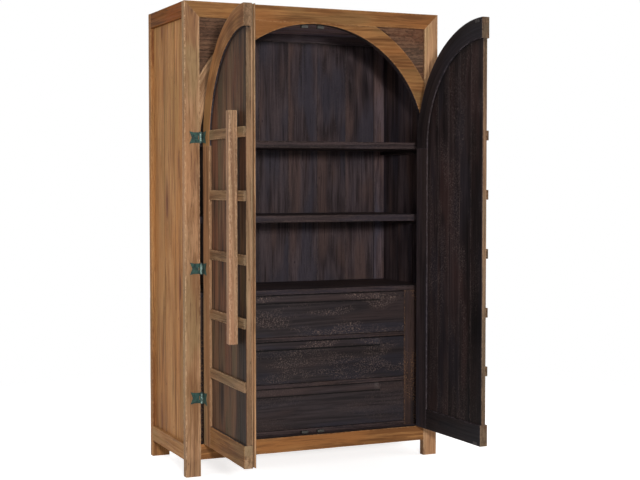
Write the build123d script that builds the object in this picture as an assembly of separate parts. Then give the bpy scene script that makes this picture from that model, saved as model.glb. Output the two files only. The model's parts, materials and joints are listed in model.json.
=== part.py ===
"""A two-door trastero: a tall arched cabinet with two shelves and three drawers.

Millimetres, +Z up. The origin is on the floor, at the middle of the width, in the upright plane of the
door pins, so the face of the cabinet lies pin_ahead behind it. The doors stand open. Each door is drawn
closed in a frame of its own, with its pin on the Z axis and its face towards -Y, and then swung open.
Left-hand pieces are drawn, and right-hand ones are their mirror images.
"""
from build123d import *
import os
from math import hypot, sqrt

# ---------------------------------------------------------------- whole cabinet
cabinet_width = 1270
cabinet_height = 2115
cabinet_depth = 545
door_angle = 92            # how far the doors stand open
fit = 0.3                  # clearance of a curved or sliding wood joint
eased = 1.2                # chamfer on the long edges of boards

# ---------------------------------------------------------------- carcass
member_width = 70          # posts and rails of the frames, seen from the front
member_thickness = 36
foot_height = 75           # clear space under the bottom rails
side_rail_thickness = 30
back_post_width = 84
back_rail_height = 105     # upper back rail
side_panel_thickness = 14
back_panel_thickness = 12
back_panel_inset = 12      # from the back of the posts
tongue = 8                 # how deep panels run into their grooves
board_thickness = 22       # floor and ceiling
side_plank_count = 3
back_plank_count = 7
plank_gap = 0.3
plank_chamfer = 1.2
ceiling_drop = 5           # how far the ceiling lies above the lower edge of the top rails

# ---------------------------------------------------------------- arch
arch_crown = 4             # wood left under the top rail at the crown
arch_band = 80
arch_toe = 2               # thickness at which the foot of the arch ends
spandrel_recess = 10
spandrel_thickness = 14

# ---------------------------------------------------------------- shelves and drawer case
interior_setback = 57      # shelf and drawer fronts, behind the face of the cabinet
shelf_thickness = 32
upper_shelf_rise = 31      # top of the upper shelf, above the spring of the arch
lower_shelf_lift = 343     # top of the lower shelf, above the deck
cleat = 20
deck_lift = 675            # top of the deck, above the floor board
deck_thickness = 24
case_rail_height = 19
case_rail_depth = 60
case_stile_width = 116
case_stile_thickness = 20
case_side_thickness = 18
drawer_gap = 2             # round a drawer front
drawer_front_thickness = 20
drawer_box_height = 150
drawer_back_space = 44     # clear behind the drawer boxes
drawer_side_thickness = 12
drawer_bottom_thickness = 6
drawer_bottom_lift = 10    # of the bottom above the lower edge of the sides
pull_margin = 127          # from the end of the finger pull to the end of the drawer front
pull_height = 40           # finger pull scooped out of the upper edge of a drawer front
pull_depth = 11
pull_radius = 60
slide_height = 45
slide_wall = 2
slide_depth = 13           # between the drawer's side and the case
slide_clearance = 0.3
slide_end_play = 1
slide_setback = 4          # of the channel, behind the case stiles

# ---------------------------------------------------------------- doors
door_gap = 3               # round and between the doors
pin_ahead = 9              # pin axis, in front of the face
door_thickness = 38
door_stile_width = 93
door_bottom_rail = 95
cross_rail_count = 5
cross_rail_height = 43
cross_rail_space = 217
cross_rail_proud = 10      # of the frame and cross rails over the planks
door_plank_thickness = 22
door_plank_count = 5
door_tongue_thickness = 10
groove_stop = 12           # end of a door groove, short of the free edge
handle_size = 38
handle_lift = 502          # lower end of the handle, above the bottom of the door
handle_length = 961
handle_inset = 76          # from the free edge of the door
handle_chamfer = 3
astragal_width = 20
astragal_lip = 10          # how far it reaches past the free edge
astragal_lip_thickness = 5.5
astragal_stand_off = 5     # from the back of the door frame to the lip
astragal_rebate = 6        # depth of the rebate beside the lip
astragal_end = 3           # short of the door's ends

# ---------------------------------------------------------------- ironwork
lower_hinge_lift = 207     # middles of the two lower hinges, above the bottom of the door
middle_hinge_lift = 785
upper_hinge_rise = 38      # middle of the upper hinge, above the spring of the arch
barrel_height = 47
barrel_radius = 8
pin_radius = 3
pin_clearance = 0.05
pin_head_radius = 5
pin_head_height = 2
knuckle_gap = 0.4
leaf_reach = 50            # from the pin to the tips of a leaf
leaf_thickness = 3
leaf_root_height = 47
leaf_tip_height = 55
leaf_flare = 18            # length of the part that widens to the tips
leaf_notch = 11
leaf_start = 9.5           # edge of the leaf beside the other leaf's knuckle
catch_size = (33, 14, 12)  # a floor catch: width, depth and height
top_catch_height = 24
catch_centre = 40          # from the middle of the cabinet
catch_gap = 0.5
strike_thickness = 1.2
strike_height = 14
top_strike_drop = 22       # middle of the strike, below the crown of the door
bottom_strike_lift = 9     # middle of the strike, above the bottom of the door

# ---------------------------------------------------------------- places that follow
half_width = cabinet_width / 2
face_y = pin_ahead
frame_back_y = face_y + member_thickness
back_y = face_y + cabinet_depth
back_post_y = back_y - member_thickness
opening_half = half_width - member_width
sill_z = foot_height + member_width
head_z = cabinet_height - member_width
ceiling_z = head_z + ceiling_drop
back_head_z = cabinet_height - back_rail_height
inner_half = half_width - side_rail_thickness
back_opening_half = half_width - back_post_width
back_panel_y = back_y - back_panel_inset - back_panel_thickness
arch_radius = opening_half
arch_z = head_z - arch_crown - arch_radius
upper_shelf_top = arch_z + upper_shelf_rise
deck_top = sill_z + deck_lift
lower_shelf_top = deck_top + lower_shelf_lift
interior_y = face_y + interior_setback
deck_z = deck_top - deck_thickness
case_opening_half = inner_half - case_stile_width
drawer_half_width = case_opening_half - drawer_gap
drawer_box_y = interior_y + drawer_front_thickness
drawer_box_depth = back_panel_y - drawer_back_space - drawer_box_y
slide_y = interior_y + case_stile_thickness + slide_setback

pin_x = opening_half - door_gap / 2
hinge_edge = door_gap / 2
free_edge = pin_x - door_gap / 2
door_bottom = sill_z + door_gap
door_front = pin_ahead
door_back = door_front + door_thickness
field_left = hinge_edge + door_stile_width
field_bottom = door_bottom + door_bottom_rail
plank_front = door_front + cross_rail_proud
plank_back = plank_front + door_plank_thickness
door_crown = arch_z + pin_x - hinge_edge
handle_bottom = door_bottom + handle_lift
hinge_heights = (door_bottom + lower_hinge_lift, door_bottom + middle_hinge_lift, arch_z + upper_hinge_rise)
beyond = cabinet_height    # longer than any piece, for cutting tools


# ---------------------------------------------------------------- helpers
def board(x0, x1, y0, y1, z0, z1, along=None, ease=eased):
    """A square-cut board between two corners, with the edges along one axis chamfered."""
    piece = Pos((x0 + x1) / 2, (y0 + y1) / 2, (z0 + z1) / 2) * Box(x1 - x0, y1 - y0, z1 - z0)
    return chamfer(piece.edges().filter_by(along), ease) if along else piece


def rectangle(x0, x1, z0, z1):
    """An upright rectangle, drawn in X and Z."""
    return Pos((x0 + x1) / 2, (z0 + z1) / 2) * Rectangle(x1 - x0, z1 - z0)


def disc(x, z, radius):
    """A round outline, drawn in X and Z."""
    return Pos(x, z) * Circle(radius)


def polygon(*points):
    """A straight-sided outline, drawn in X and Z."""
    return make_face(Polyline(*points, close=True))


def sawn(outline, y0, y1):
    """An outline drawn in X and Z, sawn from stock between two depths."""
    return extrude(Pos(0, y0, 0) * (Plane.XZ * outline), amount=y1 - y0, dir=(0, 1, 0))


def mirrored(piece):
    """The same piece on the other side of the middle plane."""
    return mirror(piece, about=Plane.YZ)


def group(pieces):
    """Separate solids that share one node."""
    return Compound([solid for piece in pieces for solid in piece.solids()])


def pair(piece):
    """A piece and its mirror image in one node."""
    return group([piece, mirrored(piece)])


def planked(panel, start, end, low, high, count, overhang, across=Axis.X):
    """Saws a panel into equal upright planks whose chamfered edges meet in V-grooves.

    start and end bound the planks across the panel, low and high are its two faces, and overhang is how
    far the outer planks run on into their grooves.
    """
    width = (end - start) / count
    planks = []
    for i in range(count):
        left = start + i * width + (-overhang if i == 0 else plank_gap / 2)
        right = start + (i + 1) * width + (overhang if i == count - 1 else -plank_gap / 2)
        if across == Axis.X:
            strip = board(left, right, low, high, -beyond, beyond, Axis.Z, plank_chamfer)
        else:
            strip = board(low, high, left, right, -beyond, beyond, Axis.Z, plank_chamfer)
        planks.append(panel & strip)
    return group(planks)


# ---------------------------------------------------------------- carcass frames
def side_panel_space(play=0.0):
    """The left side panel with its tongues, or the groove for it."""
    inside = -inner_half + play
    return board(inside - side_panel_thickness - 2 * play, inside, frame_back_y - tongue - play,
                 back_post_y + tongue + play, sill_z - tongue - play, head_z + tongue + play)


def back_panel_space(play=0.0):
    """The back panel with its tongues, or the groove for it."""
    half = back_opening_half + tongue + play
    return board(-half, half, back_panel_y - play, back_panel_y + back_panel_thickness + play,
                 sill_z - tongue - play, back_head_z + tongue + play)


def front_post():
    """Left front post, which is also a leg, mitred at the top."""
    outline = polygon((-half_width, 0), (-opening_half, 0), (-opening_half, head_z),
                      (-half_width, cabinet_height))
    return sawn(outline, face_y, frame_back_y) - side_panel_space(fit)


def front_top_rail():
    """Top rail of the face frame, mitred at both ends."""
    outline = polygon((-half_width, cabinet_height), (half_width, cabinet_height),
                      (opening_half, head_z), (-opening_half, head_z))
    return sawn(outline, face_y, frame_back_y)


def back_post():
    """Left back post, grooved for the side panel and the back panel."""
    post = board(-half_width, -back_opening_half, back_post_y, back_y, 0, cabinet_height, Axis.Z)
    return post - side_panel_space(fit) - back_panel_space(fit)


def side_rails():
    """Top and bottom rail of the left side, grooved for its panel."""
    span = (-half_width, -inner_half, frame_back_y, back_post_y)
    rails = [board(*span, foot_height, sill_z, Axis.Y), board(*span, head_z, cabinet_height, Axis.Y)]
    return group([rail - side_panel_space(fit) for rail in rails])


def back_rails():
    """Top and bottom rail of the back, grooved for its panel."""
    span = (-back_opening_half, back_opening_half, back_post_y, back_y)
    rails = [board(*span, foot_height, sill_z, Axis.X),
             board(*span, back_head_z, cabinet_height, Axis.X)]
    return group([rail - back_panel_space(fit) for rail in rails])


def arch_half():
    """Left half of the arch, from the crown down to a thin toe on the post."""
    toe_rise = sqrt(arch_radius ** 2 - (arch_radius - arch_toe) ** 2)
    ring = disc(0, arch_z, arch_radius + arch_band) - disc(0, arch_z, arch_radius)
    return sawn(ring & rectangle(-opening_half, 0, arch_z + toe_rise, head_z), face_y, frame_back_y)


def spandrel():
    """Left corner panel, recessed between the arch, the post and the top rail."""
    corner = rectangle(-opening_half + fit, 0, arch_z, head_z - fit)
    outline = corner - disc(0, arch_z, arch_radius + arch_band + fit)
    return sawn(outline, face_y + spandrel_recess, face_y + spandrel_recess + spandrel_thickness)


def flat_board(top, thickness):
    """A board across the whole inside, between the face frame and the back rails."""
    return board(-inner_half, inner_half, frame_back_y, back_post_y, top - thickness, top)


# ---------------------------------------------------------------- shelves and drawer case
def shelf(top, thickness):
    """A board that runs back to the back panel and is notched round the back posts."""
    z = (top - thickness, top)
    wide = board(-inner_half, inner_half, interior_y, back_post_y, *z)
    between_posts = board(-back_opening_half, back_opening_half, back_post_y, back_panel_y, *z)
    return wide + between_posts


def shelf_cleats():
    """A strip under each end of both shelves, on the side panels."""
    cleats = []
    for top in (upper_shelf_top, lower_shelf_top):
        z = top - shelf_thickness
        cleats.append(board(-inner_half, -inner_half + cleat, interior_y + cleat, back_post_y,
                            z - cleat, z, Axis.Y))
    return pair(group(cleats))


def drawer_opening(level):
    """Lower and upper limit of one drawer's opening. Level 0 is the lowest."""
    height = (deck_z - sill_z - len(drawer_names) * case_rail_height) / len(drawer_names)
    low = sill_z + case_rail_height + level * (height + case_rail_height)
    return low, low + height


def case_rails():
    """A rail under each drawer, between the sides of the case."""
    rails = []
    for level in range(len(drawer_names)):
        low, _ = drawer_opening(level)
        rails.append(board(-case_opening_half, case_opening_half, interior_y,
                           interior_y + case_rail_depth, low - case_rail_height, low, Axis.X))
    return group(rails)


def case_stile():
    """Left stile of the drawer case, out to the side of the cabinet."""
    return board(-inner_half, -case_opening_half, interior_y, interior_y + case_stile_thickness,
                 sill_z, deck_z, Axis.Z)


def case_side():
    """Left side of the drawer case, behind its stile. It carries the deck and the slides."""
    return board(-case_opening_half - case_side_thickness, -case_opening_half,
                 interior_y + case_stile_thickness, back_post_y, sill_z, deck_z)


def slide_section(web_x, lip_x, height):
    """Channel section in X and Z, with its web at web_x and its open side at lip_x."""
    left, right = min(web_x, lip_x), max(web_x, lip_x)
    hollow = slide_wall if web_x < lip_x else -slide_wall
    inside = sorted((web_x + hollow, lip_x + hollow))
    body = rectangle(left, right, -height / 2, height / 2)
    return body - rectangle(*inside, -height / 2 + slide_wall, height / 2 - slide_wall)


def slide_middle(level):
    """Height of a drawer's slides."""
    low, high = drawer_opening(level)
    return (low + high) / 2


def slide_channel(level):
    """Left-hand channel of one drawer, screwed to the side of the case."""
    web = -case_opening_half
    lip = web + slide_depth - slide_wall - slide_end_play
    channel = sawn(slide_section(web, lip, slide_height), slide_y, slide_y + drawer_box_depth)
    return Pos(0, 0, slide_middle(level)) * channel


# ---------------------------------------------------------------- drawers
def drawer_front(level):
    """Drawer front with a finger pull scooped out of its upper edge and a groove for the bottom."""
    low, high = drawer_opening(level)
    top = high - drawer_gap
    front = board(-drawer_half_width, drawer_half_width, interior_y, drawer_box_y, low + drawer_gap, top)
    front = chamfer(front.faces().sort_by(Axis.Y)[0].edges(), eased)
    # The scoop is struck from a centre in front of the drawer, through the front arris pull_height
    # below the top and through the top face pull_depth behind the front.
    chord = hypot(pull_height, pull_depth)
    reach = sqrt(pull_radius ** 2 - (chord / 2) ** 2)
    centre_y = interior_y + pull_depth / 2 - reach * pull_height / chord
    centre_z = top - pull_height / 2 + reach * pull_depth / chord
    scoop = Cylinder(pull_radius, 2 * (drawer_half_width - pull_margin), rotation=(0, 90, 0))
    return front - Pos(0, centre_y, centre_z) * scoop - drawer_bottom_space(level, fit)


def drawer_box_place(level):
    """Outer corners of a drawer's box."""
    half = case_opening_half - slide_depth
    low = slide_middle(level) - drawer_box_height / 2
    return half, drawer_box_y, drawer_box_y + drawer_box_depth, low, low + drawer_box_height


def drawer_bottom_space(level, play=0.0):
    """The drawer bottom with its edges in their grooves, or the groove for it."""
    half, front, back, low, _ = drawer_box_place(level)
    half = half - drawer_side_thickness / 2 + play
    z = low + drawer_bottom_lift
    return board(-half, half, front - drawer_side_thickness / 2 - play,
                 back - drawer_side_thickness / 2 + play, z - play, z + drawer_bottom_thickness + play)


def drawer_box(level):
    """Two sides and a back, grooved for the bottom."""
    half, front, back, low, high = drawer_box_place(level)
    side = board(-half, -half + drawer_side_thickness, front, back, low, high, Axis.Y)
    inner = half - drawer_side_thickness
    rear = board(-inner, inner, back - drawer_side_thickness, back, low, high, Axis.X)
    groove = drawer_bottom_space(level, fit)
    return group([side - groove, mirrored(side) - groove, rear - groove])


def drawer_rails(level):
    """The moving rails of a drawer's slides, on the sides of its box."""
    half, front, _, _, _ = drawer_box_place(level)
    web = -half
    lip = web - slide_depth + slide_wall + slide_end_play
    height = slide_height - 2 * slide_wall - 2 * slide_clearance
    rail = sawn(slide_section(web, lip, height), front, front + drawer_box_depth)
    return pair(Pos(0, 0, slide_middle(level)) * rail)


# ---------------------------------------------------------------- doors, closed, pin on the Z axis
def arched(left, bottom, right):
    """Half-arch outline: upright sides and a quarter-round shoulder about the centre of the arch."""
    radius = pin_x - left
    below = rectangle(left, right, bottom, arch_z)
    return below + (disc(pin_x, arch_z, radius) & rectangle(left, right, arch_z, arch_z + radius))


def door_frame():
    """Hinge stile, quarter-arch rail and bottom rail in one, grooved for the planks."""
    ring = arched(hinge_edge, door_bottom, free_edge) - arched(field_left, field_bottom, free_edge)
    middle = (plank_front + plank_back) / 2
    half = door_tongue_thickness / 2 + fit
    reach = tongue + fit
    groove = arched(field_left - reach, field_bottom - reach, free_edge - groove_stop + fit)
    return sawn(ring, door_front, door_back) - sawn(groove, middle - half, middle + half)


def door_stile(frame):
    """The hinge stile, up to the spring of the arch."""
    return frame & board(0, field_left, 0, beyond, 0, arch_z)


def door_arch_rail(frame):
    """The quarter-arch rail, from the spring of the arch to the free edge."""
    return frame & board(0, pin_x, 0, beyond, arch_z, beyond)


def door_bottom_piece(frame):
    """The bottom rail, from the stile to the free edge."""
    return frame & board(field_left, pin_x, 0, beyond, 0, arch_z)


def door_panel():
    """The planks of a door, tongued into the frame and bare along the free edge."""
    middle = (plank_front + plank_back) / 2
    half = door_tongue_thickness / 2
    face = sawn(arched(field_left + fit, field_bottom + fit, free_edge), plank_front, plank_back)
    edge = arched(field_left - tongue, field_bottom - tongue, free_edge - groove_stop)
    whole = face + sawn(edge, middle - half, middle + half)
    return planked(whole, field_left, free_edge, plank_front, plank_back, door_plank_count, 2 * tongue)


def cross_rails():
    """Flat rails across the face of the planks, out to the free edge."""
    field = arched(field_left + fit, field_bottom, free_edge)
    rails = []
    for i in range(cross_rail_count):
        low = field_bottom + cross_rail_space + i * (cross_rail_space + cross_rail_height)
        outline = rectangle(field_left, free_edge, low, low + cross_rail_height) & field
        rails.append(sawn(outline, door_front, plank_front))
    return group(rails)


def door_handle():
    """A long square bar, fixed to the cross rails."""
    right = free_edge - handle_inset
    bar = board(right - handle_size, right, door_front - handle_size, door_front,
                handle_bottom, handle_bottom + handle_length)
    return chamfer(bar.edges().group_by(Axis.Y)[0] + bar.edges().filter_by(Axis.Y), handle_chamfer)


def astragal():
    """Strip behind the free edge of the left door. Its lip covers the gap between the doors."""
    left = free_edge - astragal_width
    lip_front = door_back + astragal_stand_off
    back = lip_front + astragal_lip_thickness
    z = (door_bottom + astragal_end, door_crown - astragal_end)
    strip = board(left, free_edge - astragal_rebate, door_back, back, *z)
    lip = board(left, free_edge + astragal_lip, lip_front, back, *z)
    packing_top = arch_z + sqrt((pin_x - field_left) ** 2 - (pin_x - left) ** 2) - fit
    packing = board(left, free_edge, plank_back, door_back, field_bottom + fit, packing_top)
    return strip + lip + packing


def strikes():
    """Steel plates that the catches hold, on the back of a door."""
    width, _, _ = catch_size
    middle = pin_x - catch_centre
    plates = []
    for z in (door_bottom + bottom_strike_lift, door_crown - top_strike_drop + strike_height / 2):
        plates.append(board(middle - width / 2, middle + width / 2, door_back,
                            door_back + strike_thickness, z - strike_height / 2, z + strike_height / 2))
    return group(plates)


# ---------------------------------------------------------------- ironwork
def knuckle_band(index):
    """Lower and upper limit of one of a barrel's three knuckles, about the middle of the barrel."""
    step = barrel_height / 3
    low = -barrel_height / 2 + index * step
    return low + (knuckle_gap / 2 if index > 0 else 0), low + step - (knuckle_gap / 2 if index < 2 else 0)


def hinge_leaf(knuckles):
    """A fishtail leaf with its knuckles, lying along +X on a face pin_ahead behind the pin."""
    root, tip = leaf_root_height / 2, leaf_tip_height / 2
    flare = leaf_reach - leaf_flare
    outline = polygon((leaf_start, -root), (flare, -root), (leaf_reach, -tip), (leaf_reach - leaf_notch, 0),
                      (leaf_reach, tip), (flare, root), (leaf_start, root))
    leaf = sawn(outline, pin_ahead - leaf_thickness, pin_ahead)
    for low, high in (knuckle_band(k) for k in knuckles):
        leaf += board(0, leaf_start, pin_ahead - leaf_thickness, pin_ahead, low, high) \
            + Pos(0, 0, (low + high) / 2) * Cylinder(barrel_radius, high - low)
    return leaf - Cylinder(pin_radius + pin_clearance, 2 * barrel_height)


def hinge_pin():
    """A pin with a button head at each end of the barrel."""
    pin = Cylinder(pin_radius, barrel_height)
    head = Cylinder(pin_head_radius, pin_head_height)
    lift = (barrel_height + pin_head_height) / 2
    return pin + Pos(0, 0, lift) * head + Pos(0, 0, -lift) * head


def on_left_post(piece):
    """Three copies of an iron piece at the left-hand hinges."""
    return group([Pos(-pin_x, 0, z) * piece for z in hinge_heights])


def door_leaves():
    """The three leaves on a door, in the door's own frame."""
    leaf = hinge_leaf([1])
    return group([Pos(0, 0, z) * leaf for z in hinge_heights])


def door_catches():
    """Magnetic catches behind the closed doors, two on the floor and two under the ceiling."""
    width, depth, height = catch_size
    y = door_back + strike_thickness + catch_gap
    x = (-catch_centre - width / 2, -catch_centre + width / 2, y, y + depth)
    floor_catch = board(*x, sill_z, sill_z + height, Axis.X)
    top_catch = board(*x, ceiling_z - top_catch_height, ceiling_z, Axis.X)
    return pair(group([floor_catch, top_catch]))


# ---------------------------------------------------------------- assembly
drawer_names = ("lower_drawer", "middle_drawer", "upper_drawer")
nodes = {
    "front_post_left": front_post(),
    "back_post_left": back_post(),
    "side_rails_left": side_rails(),
    "side_panel_left": planked(side_panel_space(), frame_back_y, back_post_y,
                               -inner_half - side_panel_thickness, -inner_half,
                               side_plank_count, 2 * tongue, Axis.Y),
    "arch_left": arch_half(),
    "spandrel_left": spandrel(),
    "left_hinge_post_leaves": on_left_post(mirrored(hinge_leaf([0, 2]))),
}
for name, piece in list(nodes.items()):
    nodes[name.replace("left", "right")] = mirrored(piece)

nodes["front_top_rail"] = front_top_rail()
nodes["front_bottom_rail"] = board(-opening_half, opening_half, face_y, frame_back_y, foot_height,
                                   sill_z, Axis.X)
nodes["back_rails"] = back_rails()
nodes["back_panel"] = planked(back_panel_space(), -back_opening_half, back_opening_half, back_panel_y,
                              back_panel_y + back_panel_thickness, back_plank_count, 2 * tongue)
nodes["ceiling_panel"] = flat_board(ceiling_z + board_thickness, board_thickness)
nodes["floor_panel"] = flat_board(sill_z, board_thickness)
nodes["upper_shelf"] = shelf(upper_shelf_top, shelf_thickness)
nodes["lower_shelf"] = shelf(lower_shelf_top, shelf_thickness)
nodes["shelf_cleats"] = shelf_cleats()
nodes["drawer_deck"] = shelf(deck_top, deck_thickness)
nodes["case_stiles"] = pair(case_stile())
nodes["case_sides"] = pair(case_side())
nodes["case_rails"] = case_rails()
nodes["slide_channels"] = pair(group([slide_channel(i) for i in range(len(drawer_names))]))
nodes["door_catches"] = door_catches()
nodes["hinge_pins"] = pair(on_left_post(hinge_pin()))

for level, name in enumerate(drawer_names):
    nodes[name + "_front"] = drawer_front(level)
    nodes[name + "_box"] = drawer_box(level)
    nodes[name + "_bottom"] = drawer_bottom_space(level)
    nodes[name + "_rails"] = drawer_rails(level)

frame = door_frame()
door = {
    "door_stile": door_stile(frame),
    "door_arch_rail": door_arch_rail(frame),
    "door_bottom_rail": door_bottom_piece(frame),
    "door_panel": door_panel(),
    "door_cross_rails": cross_rails(),
    "door_handle": door_handle(),
    "door_astragal": astragal(),
    "door_strikes": strikes(),
    "hinge_door_leaves": door_leaves(),
}
for name, piece in door.items():
    swung = Pos(-pin_x, 0, 0) * Rot(0, 0, -door_angle) * piece
    nodes["left_" + name] = swung
    if name != "door_astragal":
        nodes["right_" + name] = mirrored(swung)

os.makedirs("parts", exist_ok=True)
for name, piece in nodes.items():
    export_step(piece, f"parts/{name}.step")
print(len(nodes), "nodes written")
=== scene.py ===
# %% [markdown]
# # A trastero cabinet, dressed for its portrait
# The cabinet has already been built as exact solids: posts, rails, a round arch, planked doors, drawers
# and ironwork. They could simply be given wood materials, but their edges are perfectly sharp and their
# boards perfectly flat, which the eye takes for plastic. So this lesson keeps the solids as a fixed frame
# and makes nearly every board again as a surface inside its solid, with what a joiner's tools and years
# of use give wood: rubbed arrises, small dents, grain that follows every board, and the several finishes
# of the piece. Lengths are metres, +Z is up and -Y comes out of the cabinet's front.

# %% Load the frame
import json
import math
import bmesh
import bpy
import numpy as np
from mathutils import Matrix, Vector


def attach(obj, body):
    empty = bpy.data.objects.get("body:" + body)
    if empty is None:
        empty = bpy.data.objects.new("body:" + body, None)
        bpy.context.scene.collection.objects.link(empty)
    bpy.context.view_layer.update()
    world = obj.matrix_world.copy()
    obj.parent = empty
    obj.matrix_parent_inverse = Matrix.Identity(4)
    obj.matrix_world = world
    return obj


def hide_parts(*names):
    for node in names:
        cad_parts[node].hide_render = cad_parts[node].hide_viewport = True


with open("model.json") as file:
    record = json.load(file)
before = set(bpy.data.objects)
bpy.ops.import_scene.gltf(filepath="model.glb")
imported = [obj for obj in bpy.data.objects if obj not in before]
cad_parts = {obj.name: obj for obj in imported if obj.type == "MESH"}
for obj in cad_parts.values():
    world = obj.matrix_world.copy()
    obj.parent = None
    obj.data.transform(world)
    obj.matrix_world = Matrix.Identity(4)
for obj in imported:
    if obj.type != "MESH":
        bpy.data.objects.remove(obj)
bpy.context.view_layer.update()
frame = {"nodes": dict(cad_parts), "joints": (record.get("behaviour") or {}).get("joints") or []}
nodes = frame["nodes"]
dice = np.random.default_rng(71)

# %% [markdown]
# ## The camera
# Seen from straight in front the cabinet would lose its depth, and a wide lens close by would make the
# open doors loom. So the lens is long, about 74 mm, and stands a little left of the front, a bit above
# the middle of the piece and nearly level, so that uprights stay upright. Its direction is given as a
# turn to the right and a small tilt down.

# %% Camera
CAMERA_PLACE = (-2.4455, -5.5123, 1.3185)
CAMERA_TURN, CAMERA_TILT = math.radians(24.047), math.radians(2.546)
FOCAL_MM, SENSOR_MM = 73.59, 36.0


def linked(name, data):
    """A new object of the given data, in the scene."""
    made = bpy.data.objects.new(name, data)
    bpy.context.scene.collection.objects.link(made)
    return made


lens = bpy.data.cameras.new("portrait_lens")
lens.lens, lens.sensor_width = FOCAL_MM, SENSOR_MM
camera = linked("portrait_camera", lens)
camera.location = CAMERA_PLACE
camera.rotation_euler = (math.pi / 2 - CAMERA_TILT, 0, -CAMERA_TURN)
bpy.context.scene.camera = camera
print("camera", CAMERA_PLACE, "lens", lens.lens)

# %% [markdown]
# ## A small way to write shader nodes
# A procedural material is a graph, which could be drawn by hand in the node editor or built with a dozen
# lines for each node. Here each node, its settings and its links take one line, which keeps a long graph
# readable: a plain value goes into a socket's own field, and a socket is linked to it.

# %% Shader helpers
def linear(*srgb):
    """Scene-linear colour of a 0-255 screen colour, by the screen's own tone curve."""
    c = np.array(srgb) / 255
    return (*np.where(c <= 0.04045, c / 12.92, ((c + 0.055) / 1.055) ** 2.4), 1.0)


class Graph:
    """The nodes of a material or of the world, as they are being added."""

    def __init__(self, owner):
        owner.use_nodes = True
        self.owner, self.tree = owner, owner.node_tree
        self.shader = self.tree.nodes.get("Principled BSDF")

    def set(self, node, sockets):
        """Gives each named socket of a node a plain value, or a link to another node."""
        for key, value in sockets.items():
            socket = node.inputs[key]
            if isinstance(value, bpy.types.NodeSocket):
                self.tree.links.new(value, socket)
            else:
                socket.default_value = value

    def add(self, kind, sockets=None, out=0, **settings):
        """One output of a new node with the given sockets and settings."""
        node = self.tree.nodes.new("ShaderNode" + kind)
        for key, value in settings.items():
            setattr(node, key, value)
        self.set(node, sockets or {})
        return node.outputs[out]

    def math(self, operation, a, b=0.0, clamp=False):
        """An operation on two values, held from 0 to 1 with clamp."""
        return self.add("Math", {0: a, 1: b}, operation=operation, use_clamp=clamp)

    def noise(self, place, scale, detail=2.0, rough=0.5, twist=0.0):
        """Cloudy values round 0.5, with that many clouds per metre of the coordinates."""
        return self.add("TexNoise", {"Vector": place, "Scale": scale, "Detail": detail,
                                     "Roughness": rough, "Distortion": twist})

    def stretch(self, place, scale, shift=(0, 0, 0)):
        """Coordinates times scale plus shift: a greater scale makes a finer pattern along that axis."""
        return self.add("Mapping", {"Vector": place, "Scale": scale, "Location": shift})

    def between(self, value, low, high, to_low=0.0, to_high=1.0):
        """A value read from one range into another, held at its ends, with soft ends."""
        return self.add("MapRange", {"Value": value, "From Min": low, "From Max": high, "To Min": to_low,
                                     "To Max": to_high}, interpolation_type="SMOOTHSTEP")

    def mix(self, factor, a, b, blend="MIX"):
        """Colour a where the factor is 0, and b, or b blended with a, where it is 1."""
        return self.add("Mix", {0: factor, 6: a, 7: b}, 2, data_type="RGBA", blend_type=blend)


print("half of the screen's brightness is", round(float(linear(128)[0]), 3), "of its light")

# %% [markdown]
# ## Wood
# The cabinet is made of knotty, reclaimed-looking boards. A picture of wood could be wrapped round them,
# but it would repeat, and it would break off at every edge. Real grain is a solid thing: the same streak
# shows on the face and on the end of a board. So every board carries an attribute, "grain", which is its
# own coordinates with the third one along its length, shifted by chance so that no two boards match.
# Noise stretched along that third axis gives streaks, and finer noise gives pores. A few scattered points
# are knots, and the fibres run round them. A second attribute, "wear", is 1 on the arrises, where
# handling rubs the finish away, and a third, "tone", shades whole boards lighter or darker.

# %% Fibres and knots
PATCHES = (9, 9, 1.8)      # cells per metre across and along a board: the spacing of knots and patches
WANDER = 0.09              # how far slow noise shifts the fibres, from end to end of its range


def chosen(g, cells, share):
    """1 in the given share of a Voronoi texture's cells, picked by the cells' own chance colours."""
    return g.math("GREATER_THAN", g.add("SeparateColor", {0: cells.outputs["Color"]}), 1.0 - share)


def knotty_fibres(g, grain, knots):
    """Coordinates in which the fibres wander and flow round knots, and how near a knot each point is.

    Near a knot a point is moved a tenth of its way from the knot's middle, which bends the streaks.
    """
    wander = g.add("TexNoise", {"Vector": g.stretch(grain, (1.6, 1.6, 0.5)), "Scale": 1.0, "Detail": 1.0}, 1)
    wander = g.add("VectorMath", {0: wander, 1: (0.5, 0.5, 0.5)}, operation="SUBTRACT")
    wander = g.add("VectorMath", {0: wander, "Scale": WANDER}, operation="SCALE")
    bent = g.add("VectorMath", {0: grain, 1: wander}, operation="ADD")
    spread = g.stretch(bent, PATCHES)
    cells = g.add("TexVoronoi", {"Vector": spread, "Scale": 1.0}).node
    some, distance = chosen(g, cells, knots), cells.outputs["Distance"]
    near = g.math("MULTIPLY", g.between(distance, 0.05, 0.34, 1.0, 0.0), some)
    core = g.math("MULTIPLY", g.between(distance, 0.03, 0.12, 1.0, 0.0), some)
    away = g.add("VectorMath", {0: spread, 1: cells.outputs["Position"]}, operation="SUBTRACT")
    away = g.add("VectorMath", {0: away, "Scale": g.math("MULTIPLY", near, -0.10)}, operation="SCALE")
    return g.add("VectorMath", {0: bent, 1: away}, operation="ADD"), near, core


print("room for a knot every", round(1 / PATCHES[2], 2), "metres along a board")

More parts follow.
